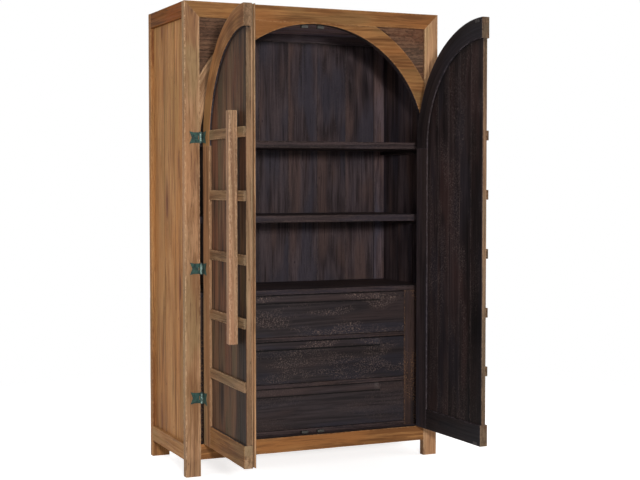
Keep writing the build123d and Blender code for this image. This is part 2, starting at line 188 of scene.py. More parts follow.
# %% Streaks, patches and pits
def streaks(g, fibre):
    """The figure of the wood, from 0 to 1, and its fine streaks and its pores.

    The figure is half broad streaks, 0.42 fine ones, and a tenth of wide rings, which give the flames of
    a plain-sawn face. All of them are many times as long as they are wide.
    """
    broad = g.noise(g.stretch(fibre, (30, 30, 1.0)), 1.0, 3.0, 0.6, 0.3)
    fine = g.noise(g.stretch(fibre, (110, 110, 2.4)), 1.0, 4.0, 0.65, 0.2)
    pores = g.noise(g.stretch(fibre, (520, 520, 14)), 1.0, 2.0, 0.6)
    rings = g.add("TexWave", {"Vector": g.stretch(fibre, (1, 1, 0.12)), "Scale": 17.0, "Distortion": 5.0,
                              "Detail": 3.0, "Detail Scale": 1.4, "Detail Roughness": 0.6}, 1,
                  wave_type="RINGS")
    figure = g.math("ADD", g.math("MULTIPLY", broad, 0.5), g.math("MULTIPLY", fine, 0.42))
    return g.math("ADD", figure, g.math("MULTIPLY", rings, 0.10)), fine, pores


def streaked(g, grain, fibre, figure, pores, light, dark, warm, cool, line):
    """Streaks from dark to light, then warm and cool patches, and flames, lines and pores over them."""
    colour = g.mix(g.between(figure, 0.40, 0.61), dark, light)
    patch = g.noise(g.stretch(grain, PATCHES, (1, 2, 3)), 1.0, 2.0, 0.5)
    colour = g.mix(g.between(patch, 0.50, 0.64, 0.0, 0.8), colour, warm)
    colour = g.mix(g.between(patch, 0.48, 0.36, 0.0, 0.8), colour, cool)
    flame = g.noise(g.stretch(fibre, (26, 26, 1.5), (3, 8, 2)), 1.0, 3.0, 0.6, 0.5)
    colour = g.mix(g.between(flame, 0.54, 0.68, 0.0, 0.55), colour, line)
    lines = g.noise(g.stretch(fibre, (150, 150, 2.6), (7, 1, 4)), 1.0, 3.0, 0.7, 0.4)
    colour = g.mix(g.between(lines, 0.56, 0.68, 0.0, 0.7), colour, line)
    return g.mix(g.between(pores, 0.46, 0.34, 0.0, 0.45), colour, line)


def pits(g, grain, share):
    """Nail and worm holes: up to 0.8 in the middle of small scattered points, and 0 elsewhere."""
    cells = g.add("TexVoronoi", {"Vector": g.stretch(grain, (24, 24, 10), (6, 2, 9)), "Scale": 1.0}).node
    hole = g.between(cells.outputs["Distance"], 0.03, 0.10, 0.8, 0.0)
    return g.math("MULTIPLY", hole, chosen(g, cells, share))


# %% Saw marks and crackle
def saw_marks(g, grain):
    """Rough-sawn wood: short ripples across the way of the fibres."""
    return g.noise(g.stretch(grain, (80, 80, 34), (2, 9, 5)), 1.0, 3.0, 0.6, 1.2)


def crackle_ridges(g, grain, strength):
    """Old finish: patches of fine cracked ridges that have lost their stain.

    The ridges are the borders of small Voronoi cells, shaken by noise. Finer noise breaks them up, and
    they show only where a slow noise is high.
    """
    shaken = g.noise(grain, 90.0, 2.0)
    spread = g.add("VectorMath", {0: g.stretch(grain, (125, 125, 95)), 1: shaken}, operation="ADD")
    border = g.add("TexVoronoi", {"Vector": spread, "Scale": 1.0}, feature="DISTANCE_TO_EDGE")
    where = g.noise(g.stretch(grain, (11, 11, 3.4), (4, 4, 4)), 1.0, 2.0, 0.6)
    broken = g.between(g.noise(grain, 160.0, 2.0, 0.6, 0.5), 0.46, 0.62, 0.0, strength)
    return g.math("MULTIPLY", g.between(border, 0.03, 0.16, 1.0, 0.0),
                  g.math("MULTIPLY", broken, g.between(where, 0.44, 0.56)))


# %% Knots, tone and wear over the colour
def knots_over(g, colour, near, core, fine, dark, line):
    """Knots: dark round about, streaked with lines, and darkest in the middle."""
    colour = g.mix(g.math("MULTIPLY", near, 0.45), colour, dark)
    flare = g.math("MULTIPLY", near, g.between(fine, 0.42, 0.56, 0.0, 0.9))
    colour = g.mix(flare, colour, line)
    return g.mix(g.math("MULTIPLY", core, 0.9), colour, line)


def toned(g, colour):
    """The colour times 1 plus half of the board's own tone."""
    tone = g.add("Attribute", out=2, attribute_name="tone")
    shade = g.math("ADD", g.math("MULTIPLY", tone, 0.5), 1.0)
    grey = g.add("CombineColor", {0: shade, 1: shade, 2: shade})
    return g.mix(1.0, colour, grey, "MULTIPLY")


def rubbed_over(g, colour, grain, worn, rubbed):
    """Specks of rubbed wood, the more the higher wear is."""
    wear = g.add("Attribute", out=2, attribute_name="wear")
    rub = g.noise(g.stretch(grain, (160, 160, 60)), 1.0, 4.0, 0.7)
    rubbing = g.math("MULTIPLY", wear, g.between(rub, 0.46, 0.60, 0.0, 1.0))
    return g.mix(g.math("MULTIPLY", rubbing, worn, True), colour, rubbed)


# %% Wood material
def wood(name, *colours, knots=0.35, worn=0.6, rough=0.62, relief=1.0, saw=0.0, crackle=0.0, shine=0.14):
    """A finish from six screen colours: light, dark, warm and cool wood, dark lines, and rubbed arrises.

    Pores, streaks, pits, saw marks and ridges are also the heights of the relief.
    """
    g = Graph(bpy.data.materials.new(name))
    light, dark, warm, cool, line, rubbed = (linear(*colour) for colour in colours)
    grain = g.add("Attribute", out=1, attribute_name="grain")
    fibre, near, core = knotty_fibres(g, grain, knots)
    figure, fine, pores = streaks(g, fibre)
    colour = streaked(g, grain, fibre, figure, pores, light, dark, warm, cool, line)
    colour = knots_over(g, colour, near, core, fine, dark, line)
    pit = pits(g, grain, knots)
    colour = g.mix(pit, colour, line)
    height = g.math("ADD", g.math("MULTIPLY", pores, 0.5), g.math("MULTIPLY", fine, 0.6))
    height = g.math("SUBTRACT", height, pit)
    if saw:
        marks = saw_marks(g, grain)
        colour = g.mix(g.between(marks, 0.50, 0.66, 0.0, 0.8 * saw), colour, light)
        colour = g.mix(g.between(marks, 0.47, 0.36, 0.0, 0.8 * saw), colour, line)
        height = g.math("ADD", height, g.math("MULTIPLY", marks, 2.0 * saw))
    if crackle:
        ridge = crackle_ridges(g, grain, crackle)
        colour = g.mix(ridge, colour, rubbed)
        height = g.math("ADD", height, g.math("MULTIPLY", ridge, 0.8))
    colour = rubbed_over(g, toned(g, colour), grain, worn, rubbed)
    g.set(g.shader, {
        "Base Color": colour, "Roughness": g.between(fine, 0.35, 0.65, rough + 0.07, rough - 0.07),
        "Specular IOR Level": shine,
        "Normal": g.add("Bump", {"Height": height, "Strength": 0.35 * relief, "Distance": 0.0012})})
    print("finish", name, "of", len(g.tree.nodes), "nodes")
    return g.owner


# %% [markdown]
# ## The finishes
# The outside is a warm, oiled, knotty brown: tan on the posts, more orange on the top rail, the arches
# and the sides, and darker on the doors. The inside is stained almost black, with faint red and blue
# casts where the stain took differently, and on the drawers, their case and the door backs it is finely
# crackled. The planks of the doors are smoked to a grey brown, the corner panels are left rough from the
# saw, and the doors' free ends are bare. One brown and one black could do for all of it, but the cabinet
# would look cut from a single plank. So each group of boards has a finish of its own, which costs only
# six colours and a few numbers, as the graph is the same.

# %% Brown finishes
honey_wood = wood("honey_wood", (178, 138, 102), (134, 96, 64), (176, 130, 92), (148, 120, 84),
                  (88, 57, 40), (198, 164, 128), knots=0.5)
amber_wood = wood("amber_wood", (152, 107, 64), (108, 70, 39), (142, 92, 51), (124, 92, 56),
                  (86, 53, 29), (172, 130, 90), worn=0.5, shine=0.08)
side_wood = wood("side_wood", (172, 126, 79), (145, 99, 57), (166, 114, 65), (150, 112, 67),
                 (92, 46, 22), (176, 132, 90), knots=1.0, worn=0.5, shine=0.1)
russet_wood = wood("russet_wood", (118, 67, 12), (80, 41, 5), (118, 60, 10), (97, 56, 9),
                   (54, 25, 5), (140, 92, 42), knots=0.1, worn=0.5, shine=0.08)
door_wood = wood("door_wood", (155, 120, 86), (104, 74, 48), (140, 99, 68), (124, 102, 74),
                 (66, 44, 30), (176, 144, 112), shine=0.08)
pale_wood = wood("pale_wood", (166, 130, 98), (130, 97, 71), (150, 108, 80), (140, 116, 86),
                 (92, 64, 46), (184, 152, 122), knots=0.2)
# A darker copy of bare_wood for the right door's bare ends: painted shade.
shaded_bare = wood("shaded_bare", (118, 92, 70), (80, 58, 42), (108, 78, 56), (100, 84, 66),
                   (58, 40, 28), (142, 116, 92), knots=0.1, worn=0.5)
bare_wood = wood("bare_wood", (144, 114, 86), (104, 78, 54), (132, 98, 70), (120, 100, 74),
                 (78, 56, 38), (150, 122, 94), knots=0.1, worn=0.3)
smoked_planks = wood("smoked_planks", (106, 76, 54), (52, 34, 22), (96, 59, 40), (80, 65, 45),
                     (28, 17, 11), (92, 68, 50), worn=0.3, shine=0.09)
sawn_corner = wood("sawn_corner", (106, 77, 57), (72, 49, 36), (86, 54, 36), (88, 68, 54),
                   (34, 22, 16), (104, 76, 56), worn=0.3, rough=0.72, relief=2.0, saw=0.6)

# %% Black finishes
EBONY = (60, 47, 47), (30, 23, 24), (58, 42, 37), (42, 36, 42), (18, 13, 14)
ebony_stain = wood("ebony_stain", *EBONY, (82, 68, 64), knots=0.2, worn=0.45, crackle=0.35)
deep_ebony = wood("deep_ebony", (52, 41, 41), (30, 23, 23), (54, 38, 36), (38, 33, 37),
                  (15, 11, 12), (92, 78, 76), knots=0.2, worn=0.35, crackle=0.8)
frame_ebony = wood("frame_ebony", (48, 39, 40), (30, 24, 25), (42, 33, 32), (34, 31, 36),
                   (15, 11, 12), (76, 68, 72), knots=0.1, worn=0.8, crackle=0.1)
faded_ebony = wood("faded_ebony", (74, 62, 64), (44, 35, 37), (78, 60, 56), (54, 50, 58),
                   (26, 19, 21), (92, 78, 74), knots=0.3, worn=0.4, crackle=0.2)
crackled_ebony = wood("crackled_ebony", (48, 40, 41), (32, 26, 27), (50, 39, 38), (38, 35, 42),
                      (24, 18, 20), (104, 87, 80), knots=0.1, worn=0.3, crackle=1.0)
calm_ebony = wood("calm_ebony", (50, 42, 43), (33, 27, 28), (52, 40, 38), (38, 35, 42),
                  (23, 17, 19), (96, 80, 74), knots=0.1, worn=0.3, crackle=0.25)
case_ebony = wood("case_ebony", *EBONY, (116, 84, 58), knots=0.2, worn=0.6, crackle=1.0)

# %% [markdown]
# ## Iron and steel
# The hinges are iron with a blue-green patina, and the catches and slides are plain zinc-plated steel.
# One dull green would look painted. So the iron is a dark metal under a blotchy mineral crust, mixed by
# cloudy noise, and rubbed back to metal on the barrels, where a measured distance from the pin finds them.
# That pale metal is partly wear and partly a painted highlight.

# %% Patinated iron
PIN_X = -frame["joints"][0]["pos_m"][0]
# The two pairs below place the pale spots: rubbed metal, which also paints the barrels' highlight.
BARREL_WEAR_AND_GLINT_Y = (-0.004, -0.0065)      # in front of the first some metal is bare, past the second all
BARREL_WEAR_AND_GLINT_REACH = (0.0086, 0.0084)         # the same, for the distance from the pin


def patinated_iron():
    """Metal and a rough green crust, mixed by cloudy noise, with pale spots on the barrels' fronts that are
    partly wear and partly a painted highlight.
    """
    g = Graph(bpy.data.materials.new("verdigris_iron"))
    place = g.add("TexCoord", out=3)
    cloud = g.noise(place, 60.0, 4.0, 0.62, 0.4)
    speck = g.noise(place, 420.0, 2.0, 0.6)
    colour = g.mix(g.between(cloud, 0.36, 0.62), linear(20, 40, 38), linear(42, 74, 66))
    colour = g.mix(g.between(speck, 0.56, 0.74, 0.0, 0.6), colour, linear(76, 106, 96))
    x, y = g.add("SeparateXYZ", {0: place}, 0), g.add("SeparateXYZ", {0: place}, 1)
    beside = g.math("SUBTRACT", g.math("ABSOLUTE", x), PIN_X)
    reach = g.add("VectorMath", {0: g.add("CombineXYZ", {0: beside, 1: y})}, 1, operation="LENGTH")
    bare = g.math("MULTIPLY", g.between(y, *BARREL_WEAR_AND_GLINT_Y), g.between(reach, *BARREL_WEAR_AND_GLINT_REACH))
    bare = g.math("MULTIPLY", bare, g.between(cloud, 0.46, 0.60, 0.06, 0.6))
    # Pale metal on the barrels' fronts: partly rubbed wear, partly a painted highlight.
    colour = g.mix(bare, colour, linear(146, 164, 156))
    height = g.math("ADD", g.math("MULTIPLY", cloud, 0.8), g.math("MULTIPLY", speck, 0.5))
    rough = g.math("SUBTRACT", g.between(speck, 0.3, 0.7, 0.42, 0.62), g.math("MULTIPLY", bare, 0.2))
    g.set(g.shader, {"Base Color": colour, "Metallic": 0.4, "Roughness": rough,
                     "Normal": g.add("Bump", {"Height": height, "Strength": 0.5, "Distance": 0.0006})})
    return g.owner


verdigris = patinated_iron()
print("iron patina round pins at x", round(PIN_X, 4))


# %% Zinc-plated steel
def zinc_steel(name, colour, rough):
    """Brushed metal: noise drawn out along one axis, and cloudy spots that are 0.86 as bright."""
    g = Graph(bpy.data.materials.new(name))
    place = g.add("TexCoord", out=3)
    brushed = g.noise(g.stretch(place, (900, 30, 900)), 1.0, 3.0, 0.6)
    spots = g.noise(place, 90.0, 3.0, 0.6)
    shade = g.mix(g.between(spots, 0.4, 0.7), linear(*colour), linear(*(0.86 * np.array(colour))))
    g.set(g.shader, {"Base Color": shade, "Metallic": 0.9,
                     "Roughness": g.between(brushed, 0.3, 0.7, rough - 0.06, rough + 0.08),
                     "Normal": g.add("Bump", {"Height": brushed, "Strength": 0.12, "Distance": 0.0003})})
    print("finish", name, "of", len(g.tree.nodes), "nodes")
    return g.owner


steel = zinc_steel("slide_steel", (168, 170, 172), 0.36)
catch_steel = zinc_steel("catch_steel", (84, 82, 78), 0.55)
strike_steel = zinc_steel("strike_steel", (70, 66, 66), 0.5)

# %% [markdown]
# ## Reading the solids
# The dressed boards have to lie where the solids are. Their sizes could be typed in again, but then a
# change of the cabinet would leave them behind, so they are measured on the frame's meshes. A solid's
# triangles are loose: corners at the same place are first given one number, and then the lowest number
# is passed from corner to corner inside every triangle until nothing changes. What shares a number is
# one solid. The doors stand open, so their boards are measured after turning them back.

# %% Door coordinates
DOOR_ANGLE = math.radians(92)
COS, SIN = math.cos(DOOR_ANGLE), math.sin(DOOR_ANGLE)
MIRROR = {"left": 1, "right": -1}


def turned(points, side):
    """A door's own coordinates of points in the frame: from the pin, mirrored for the right door."""
    x, y, z = points.T
    x = x * MIRROR[side] + PIN_X
    return np.stack([x * COS - y * SIN, x * SIN + y * COS, z], 1)


def swung(points, side):
    """The way back from a door's own coordinates to the frame."""
    x, y, z = points.T
    return np.stack([(x * COS + y * SIN - PIN_X) * MIRROR[side], -x * SIN + y * COS, z], 1)


far_point = swung(np.array([[1.0, 0, 0]]), "left")[0]
print("a metre along the left door lies at", far_point.round(3))

# %% Measuring solids
CELLS = 1e5               # per metre: corners in the same hundredth of a millimetre are one corner


def solid_numbers(triangles, count):
    """For each of count corners, the lowest number among the corners of its solid."""
    label = np.arange(count)
    while True:
        lowest = label[triangles].min(1)
        fresh = label.copy()
        np.minimum.at(fresh, triangles.ravel(), np.repeat(lowest, 3))
        if (fresh == label).all():
            return label
        label = fresh


def solids(name, side=None):
    """Lowest and highest corner of every solid of a node, in the frame or in a door's own coordinates."""
    mesh = nodes[name].data
    points = np.zeros(len(mesh.vertices) * 3, np.float32)
    mesh.vertices.foreach_get("co", points)
    corner = np.zeros(len(mesh.loops), np.int64)
    mesh.loops.foreach_get("vertex_index", corner)
    points = points.reshape(-1, 3).astype(float)
    _, number = np.unique(np.round(points * CELLS).astype(np.int64), axis=0, return_inverse=True)
    number = number.reshape(-1)
    owner = solid_numbers(number[corner].reshape(-1, 3), number.max() + 1)[number]
    if side:
        points = turned(points, side)
    boxes = [(points[owner == n].min(0), points[owner == n].max(0)) for n in np.unique(owner)]
    return sorted(boxes, key=lambda b: tuple(np.round(b[0], 3)))


print("cross rails of the left door:", len(solids("left_door_cross_rails", "left")))

# %% [markdown]
# ## One board
# Almost everything here is a board. A cube with a Bevel modifier would give it soft edges, but the same
# soft edge everywhere. So a board is a rounded rectangle carried along a line. Along the line the arrises
# wear unevenly, with a few dents, and the faces wave by a few tenths of a millimetre. All of that goes
# inwards, so that a board never grows past its solid. The two ends are rounded by drawing the section in
# over the last part of a millimetre, and closed by a strip of faces from front to back. Width limits and
# end limits may be curves, which is how the arch and the arched planks are cut.

# %% Waves and limits
ARC = np.linspace(0, np.pi / 2, 4)      # a quarter turn, for every rounded corner
LONGEST_WAVE = 0.6


def wave(length, seeds):
    """A smooth line from -1 to 1: three sines, whose wavelengths and phases come from the seeds."""
    size = LONGEST_WAVE / (1 + 3 * seeds[..., 0:3, None])
    return (np.sin(2 * np.pi * (length / size + seeds[..., 3:6, None])) * [[0.5], [0.3], [0.2]]).sum(-2)


def limit(edge):
    """A limit as a function: a number stays the same everywhere."""
    return edge if callable(edge) else (lambda place: edge + 0 * place)


print("a rounded corner turns in", len(ARC) - 1, "steps")

# %% Corners and stations of a board
UNEVEN = 0.4                            # how much of an arris's radius waves
DENT_DEPTH = 1.8                        # in radii of the arris
DENT_LENGTH = (0.004, 0.014)            # the shortest half of a dent, and how much longer it may be
BESIDE_END = np.array([0.002, 0.008])   # plain stations close to an end, which keep its shading narrow
RING = 0.004                            # inset of one more ring on the end's face


def worn_corners(length, arris, dents):
    """Radius of four arrises at every station: a waving radius plus bell-shaped dents at chance places.

    The depth of a dent is the full depth times the square of a chance number, so most are shallow.
    """
    arris = np.broadcast_to(arris, (4,))
    radius = arris[:, None] * (1 + UNEVEN * wave(length, dice.random((4, 6))))
    at = length[0] + dice.random((4, dents, 1)) * (length[-1] - length[0])
    deep = arris[:, None, None] * DENT_DEPTH * dice.random((4, dents, 1)) ** 2
    long = DENT_LENGTH[0] + DENT_LENGTH[1] * dice.random((4, dents, 1))
    return (radius + (deep * np.exp(-((length - at) / long) ** 2)).sum(1)).T[:, :, None]


def stations(low, high, tip, step):
    """Share of the length, plain offset and inset of each station, with the ends rounded by tip.

    A rounded end follows a quarter circle: at angle a it lies tip * (1 - sin a) short of the end, and the
    section is drawn in by tip * (1 - cos a). One more ring inside the end keeps its face free of wear.
    """
    count = max(3, int((high - low) / step))
    back, turn = tip * (1 - np.sin(ARC)), tip * (1 - np.cos(ARC))
    offset = np.r_[0, back[::-1], tip + BESIDE_END, np.full(count, tip), tip - BESIDE_END[::-1],
                   2 * tip - back, 2 * tip]
    inset = np.r_[tip + RING, turn[::-1], 0, 0, np.zeros(count), 0, 0, turn, tip + RING]
    share = np.r_[np.zeros(7), np.linspace(0, 1, count + 2)[1:-1], np.ones(7)]
    return share[:, None], offset[:, None], inset[:, None]


print("stations along a metre of board:", len(stations(0, 1, 0.0006, 0.03)[0]))

# %% Outline of one face
STRIPS = np.array([[0.0022, 0.006]])        # lines beside an arris that keep its shading narrow
STRIP_SHARE = np.array([[0.12, 0.3]])       # the most they may take of a narrow face
FADING = [0.45, 0.0]                        # wear on these two lines


def face_lines(low, high, left, right, across):
    """Width and depth of a face's points at every station, with the given radius at each arris.

    At angle a, from 0 to 90 degrees, a corner lies radius * (1 - cos a) in from its edge and radius *
    (1 - sin a) below the face. Between the corners are the strips' lines and some at even distances.
    """
    sin, cos = np.sin(ARC)[None], np.cos(ARC)[None]
    start, stop = low + left, high - right
    strips = np.minimum(STRIPS, (stop - start) * STRIP_SHARE)
    span = stop - start - 2 * strips[:, -1:]
    plain = start + strips[:, -1:] + span * np.linspace(0, 1, across + 2)[None, 1:-1]
    wide = np.concatenate([low + left * (1 - cos), start + strips, plain, stop - strips[:, ::-1],
                           high - right * (1 - sin)], 1)
    flat = 0 * start + np.zeros((1, across + 4))
    return wide, np.concatenate([left * (1 - sin), flat, right * (1 - cos)], 1)


sample = face_lines(*(np.array([[value]]) for value in (0, 0.1, 0.0016, 0.0016)), 3)
print("widths of the points of a 100 mm face:", (1000 * sample[0][0]).round(1))

# %% Board surface
END_FADING = 0.003                          # distance from an end at which wear has fallen to about a third
MOST_RADIUS, MOST_INSET = 0.45, 0.4         # of the thickness or width, whichever is less
LEAST = 0.0001                              # a radius and a width are never less


def board_grid(w, t, l, arris=0.0016, tip=0.0006, step=0.03, dents=3, sway=0.0003, across=3):
    """Points (stations x outline x 3), the wear of each, and the side of each strip between them.

    w, t and l are (low, high) of width, thickness and length. The limits of w may be functions of l, or
    those of l of w. The outline runs from the middle of the low edge over the front to the middle of the
    high edge, and back behind: two quarter circles and a line between them on each face.
    """
    l_low, l_high, w_low, w_high = (limit(edge) for edge in (*l, *w))
    ends = [f(np.linspace(*w, 9)).mean() if callable(f) else f for f in l]
    share, offset, inset = stations(*ends, tip, step)
    length = (ends[0] + share * (ends[1] - ends[0]))[:, 0]
    low, high = w_low(length)[:, None], w_high(length)[:, None]
    room = np.minimum(t[1] - t[0], np.maximum(high - low, LEAST))
    radius = np.minimum(worn_corners(length, arris, dents), MOST_RADIUS * room[:, :, None])
    inset = np.minimum(inset, MOST_INSET * room)
    radius = np.maximum(radius - inset[:, :, None], LEAST)
    low, high = low + inset, high - inset
    halves = []
    for face, way, a in ((t[0], 1, 0), (t[1], -1, 2)):
        wide, deep = face_lines(low, high, radius[:, a], radius[:, a + 1], across)
        deep = deep + sway * (0.5 + 0.5 * wave(length, dice.random(6)))[:, None]
        halves.append((wide, face + way * (deep + inset)))
    (front_w, front_t), (back_w, back_t) = halves
    edge_t = np.full_like(low, (t[0] + t[1]) / 2)
    wide = np.concatenate([low, front_w, high, back_w[:, ::-1]], 1)
    deep = np.concatenate([edge_t, front_t, edge_t, back_t[:, ::-1]], 1)
    # Where a curve cuts a board to nothing, it keeps a little more than its two rounded ends.
    start, stop = l_low(wide), l_high(wide)
    stop = np.maximum(stop, start + 2.2 * tip)
    along = start + np.minimum(offset, stop - start) + share * (stop - start - 2 * tip)
    along = np.clip(along, start, stop)
    rim = [0, *np.ones(4), *FADING, *np.zeros(across), *FADING[::-1], *np.ones(4)]
    wear = np.maximum([rim + rim], np.exp(-np.minimum(along - start, stop - along) / END_FADING))
    wear[[0, -1]] = 0
    more = across + 11
    sides = ["w-f"] + ["t-"] * more + ["w+f", "w+b"] + ["t+"] * more + ["w-b"]
    return np.stack([wide, deep, along], -1), wear, sides


# %% [markdown]
# ## From boards to a piece
# The grid of a board becomes quads between stations and a strip of quads over each end. Its width,
# thickness and length are then laid along the frame's axes, or bent round the arch, and a door's boards
# are swung open with their door. A board could have one material, but a real one is honey-coloured in
# front and stained dark behind, so each strip of faces knows which side of the board it is on. A mapping
# that mirrors a board would turn it inside out, so its volume is measured, and if it is negative all its
# faces are reversed.

# %% Grid to faces
def grid_faces(rows, columns):
    """Quads of a closed tube of rows x columns points, and strips over both of its ends."""
    row, column = np.meshgrid(np.arange(rows - 1), np.arange(columns), indexing="ij")
    here, after = row * columns + column, row * columns + (column + 1) % columns
    tube = np.stack([here, after, after + columns, here + columns], -1).reshape(-1, 4)
    front = np.arange(0, columns // 2)
    near = np.stack([front, -front % columns, -(front + 1) % columns, front + 1], -1)
    return tube, near, near[:, ::-1] + (rows - 1) * columns


def volume(points, quads):
    """Six times the signed volume inside the quads, each taken as two triangles."""
    a, b, c, d = (points[quads[:, i]] for i in range(4))
    return (np.cross(a, b) * c).sum() + (np.cross(a, c) * d).sum()


def laid(axes):
    """Lays width, thickness and length along three named axes."""
    order = [axes.index(axis) for axis in "xyz"]
    return lambda w, t, l: np.stack([(w, t, l)[i] for i in order], -1)


print("faces of a tube of 10 x 30 points, and of one end:", [len(quads) for quads in grid_faces(10, 30)[:2]])

# %% Surface with its attributes
def surface(points, quads, skin, grain, wear, tone, lean=0.0):
    """A surface facing outwards, with its coordinates along the grain shifted by chance.

    Its tone is lean, which is a number or one number per point, plus or minus a chance part of tone.
    """
    if volume(points, quads) < 0:
        quads = quads[:, ::-1]
    shade = np.full(len(points), lean + tone * (2 * dice.random() - 1))
    return points, quads, skin, grain + 20 * dice.random(3), wear, shade


def board(w, t, l, axes="xyz", skins=None, place=None, grain=None, tone=0.3, lean=0.0, seam=0.0, **shape):
    """One board. skins gives the finish of each side, and grain the axis that the fibres follow.

    Sides are w-, w+, t-, t+, l- and l+, for the low and high end of each direction, and w-f or w+b is the
    front or back half of an edge. With a seam the board's arrises are not rubbed but darker by that much.
    """
    grid, wear, sides = board_grid(w, t, l, **shape)
    local, wear = grid.reshape(-1, 3), wear.reshape(-1)
    seam_darkening, wear = seam * wear, wear * (seam == 0)
    points = (place or laid(axes))(*local.T)
    tube, near, far = grid_faces(*grid.shape[:2])
    skins = skins or {}
    strip = [skins.get(side, skins.get(side[:2], 0)) for side in sides]
    bottom, top, columns = skins.get("l-", 0), skins.get("l+", 0), len(strip)
    skin = np.r_[np.full(columns, bottom), np.tile(strip, grid.shape[0] - 3), np.full(columns, top),
                 np.full(len(near), bottom), np.full(len(far), top)]
    fibre = np.roll(points, 2 - "xyz".index(grain), axis=1) if grain else local
    return surface(points, np.concatenate([tube, near, far]), skin, fibre, wear, tone,
                   (lean(points) if callable(lean) else lean) - seam_darkening)


def stock(box, axes, **given):
    """One board over a solid's box, with its width, thickness and length along three named axes."""
    w, t, l = ((box[0]["xyz".index(a)], box[1]["xyz".index(a)]) for a in axes)
    return board(**{"w": w, "t": t, "l": l, "axes": axes, **given})


# %% Piece from surfaces
PROBE = 0.003             # how far outside a face the stain line is looked up


def mesh_of(name, points, quads):
    """A mesh from points and quads. A corner that a quad names twice is dropped, which makes triangles."""
    kept = quads != np.roll(quads, 1, axis=1)
    starts = np.r_[0, np.cumsum(kept.sum(1))[:-1]]
    mesh = bpy.data.meshes.new(name)
    mesh.vertices.add(len(points))
    mesh.vertices.foreach_set("co", points.astype(np.float32).ravel())
    mesh.loops.add(int(kept.sum()))
    mesh.loops.foreach_set("vertex_index", quads[kept].astype(np.int32))
    mesh.polygons.add(len(quads))
    mesh.polygons.foreach_set("loop_start", starts.astype(np.int32))
    mesh.polygons.foreach_set("use_smooth", np.ones(len(quads), bool))
    mesh.update(calc_edges=True)
    return mesh


def stand_in(name, mesh, node, body):
    """An object that rides on a body and stands for a node."""
    made = linked(name, mesh)
    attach(made, body)
    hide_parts(node)
    print(name, "stands for", node, "with", len(mesh.polygons), "faces")
    return made


def piece(name, parts, node, body, finishes, slot, side=None, stain=None):
    """Joins surfaces into one object on a body. stain(points) says which finish each face gets."""
    first = np.cumsum([0] + [len(part[0]) for part in parts])
    points, skin, fibre, wear, shade = (np.concatenate([part[i] for part in parts]) for i in (0, 2, 3, 4, 5))
    quads = np.concatenate([part[1] + start for part, start in zip(parts, first)])
    if stain:
        corner = points[quads]
        out = np.cross(corner[:, 2] - corner[:, 0], corner[:, 3] - corner[:, 1])
        out /= np.maximum(np.linalg.norm(out, axis=1, keepdims=True), 1e-12)
        skin = stain(corner.mean(1) + PROBE * out)
    if side:
        points = swung(points, side)
        quads = quads[:, ::-1] if side == "right" else quads
    mesh = mesh_of(name, points, quads)
    for finish in finishes:
        mesh.materials.append(finish)
    mesh.polygons.foreach_set("material_index", skin.astype(np.int32))
    for label, kind, field, values in (("grain", "FLOAT_VECTOR", "vector", fibre),
                                       ("wear", "FLOAT", "value", wear), ("tone", "FLOAT", "value", shade)):
        mesh.attributes.new(label, kind, "POINT").data.foreach_set(field, values.astype(np.float32).ravel())
    return stand_in(name, mesh, node, body)


def boards(node, axes, look, **shape):
    """The piece of a node whose solids are plain boards."""
    piece(f"{node}_boards", [stock(box, axes, **shape) for box in solids(node)], node, **look)


# %% [markdown]
# ## Where the dark stain ends
# The maker brushed the stain over everything that shows when the doors are open: the inside, the edges of
# the opening and the back of the arch. Every face could be given its finish by name, but the line runs
# across boards. So a face is stained if a point just outside it lies inside the cabinet, or in the mouth
# that the doors close. One rule then colours every board of the carcass.

# %% Stain line
post, side_rail = solids("front_post_left")[0], solids("side_rails_left")[0]
HALF_WIDTH, TOP_Z = -post[0][0], post[1][2]
FACE_Y, FRAME_BACK_Y, OPENING_HALF = post[0][1], post[1][1], -post[1][0]
INNER_HALF = -side_rail[1][0]
back_post = solids("back_post_left")[0]
BACK_POST_Y, BACK_OPENING_HALF = back_post[0][1], -back_post[1][0]
BACK_PANEL_Y = solids("back_panel")[0][0][1]
CEILING_Z, SILL_Z = solids("ceiling_panel")[0][0][2], solids("floor_panel")[0][1][2]
HEAD_Z = solids("arch_left")[0][1][2]
ARCH_RADIUS, ARCH_CROWN, ARCH_BAND, ARCH_TOE = OPENING_HALF, 0.004, 0.080, 0.002
ARCH_Z = HEAD_Z - ARCH_CROWN - ARCH_RADIUS
HALF_BOARD, SLACK = 0.006, 0.001


def inside(p):
    """1 for points in the cabinet or in its arched mouth, and 0 for points outside."""
    x, y, z = np.abs(p[:, 0]), p[:, 1], p[:, 2]
    room = (x < INNER_HALF + HALF_BOARD) & (y > FRAME_BACK_Y - SLACK) & (y < BACK_PANEL_Y + HALF_BOARD)
    under_arch = (z < ARCH_Z) | (np.hypot(x, z - ARCH_Z) < ARCH_RADIUS)
    mouth = (x < OPENING_HALF) & (y > FACE_Y) & (y < BACK_POST_Y) & under_arch & (z > SILL_Z)
    level = (z > SILL_Z - HALF_BOARD) & (z < CEILING_Z + HALF_BOARD)
    return (room & level | mouth).astype(np.int32)


print("stain line inside x", round(INNER_HALF, 3), "arch centre z", round(ARCH_Z, 3))

# %% [markdown]
# ## Face frame
# Four flat boards make the front: two posts that are also the legs, a top rail mitred to them, and a
# bottom rail between them. The mitre could be cut off with a Boolean, which would leave a sharp, unworn
# edge. Here it is an end limit that depends on the width: the further in, the shorter. Posts take the
# hardest knocks, so their arrises are worn most.

# %% Face frame
OUTER = dict(finishes=[honey_wood, ebony_stain], slot="weathered_wood", body="carcass", stain=inside)
AMBER = {**OUTER, "finishes": [amber_wood, ebony_stain, honey_wood]}
POST_ARRIS = (0.0024, 0.0014, 0.0014, 0.0014)      # the outer front arris is worn most


def mitre(x):
    """Height of the mitre line: it falls by as much as one moves in from the side."""
    return TOP_Z - (HALF_WIDTH - np.abs(x))


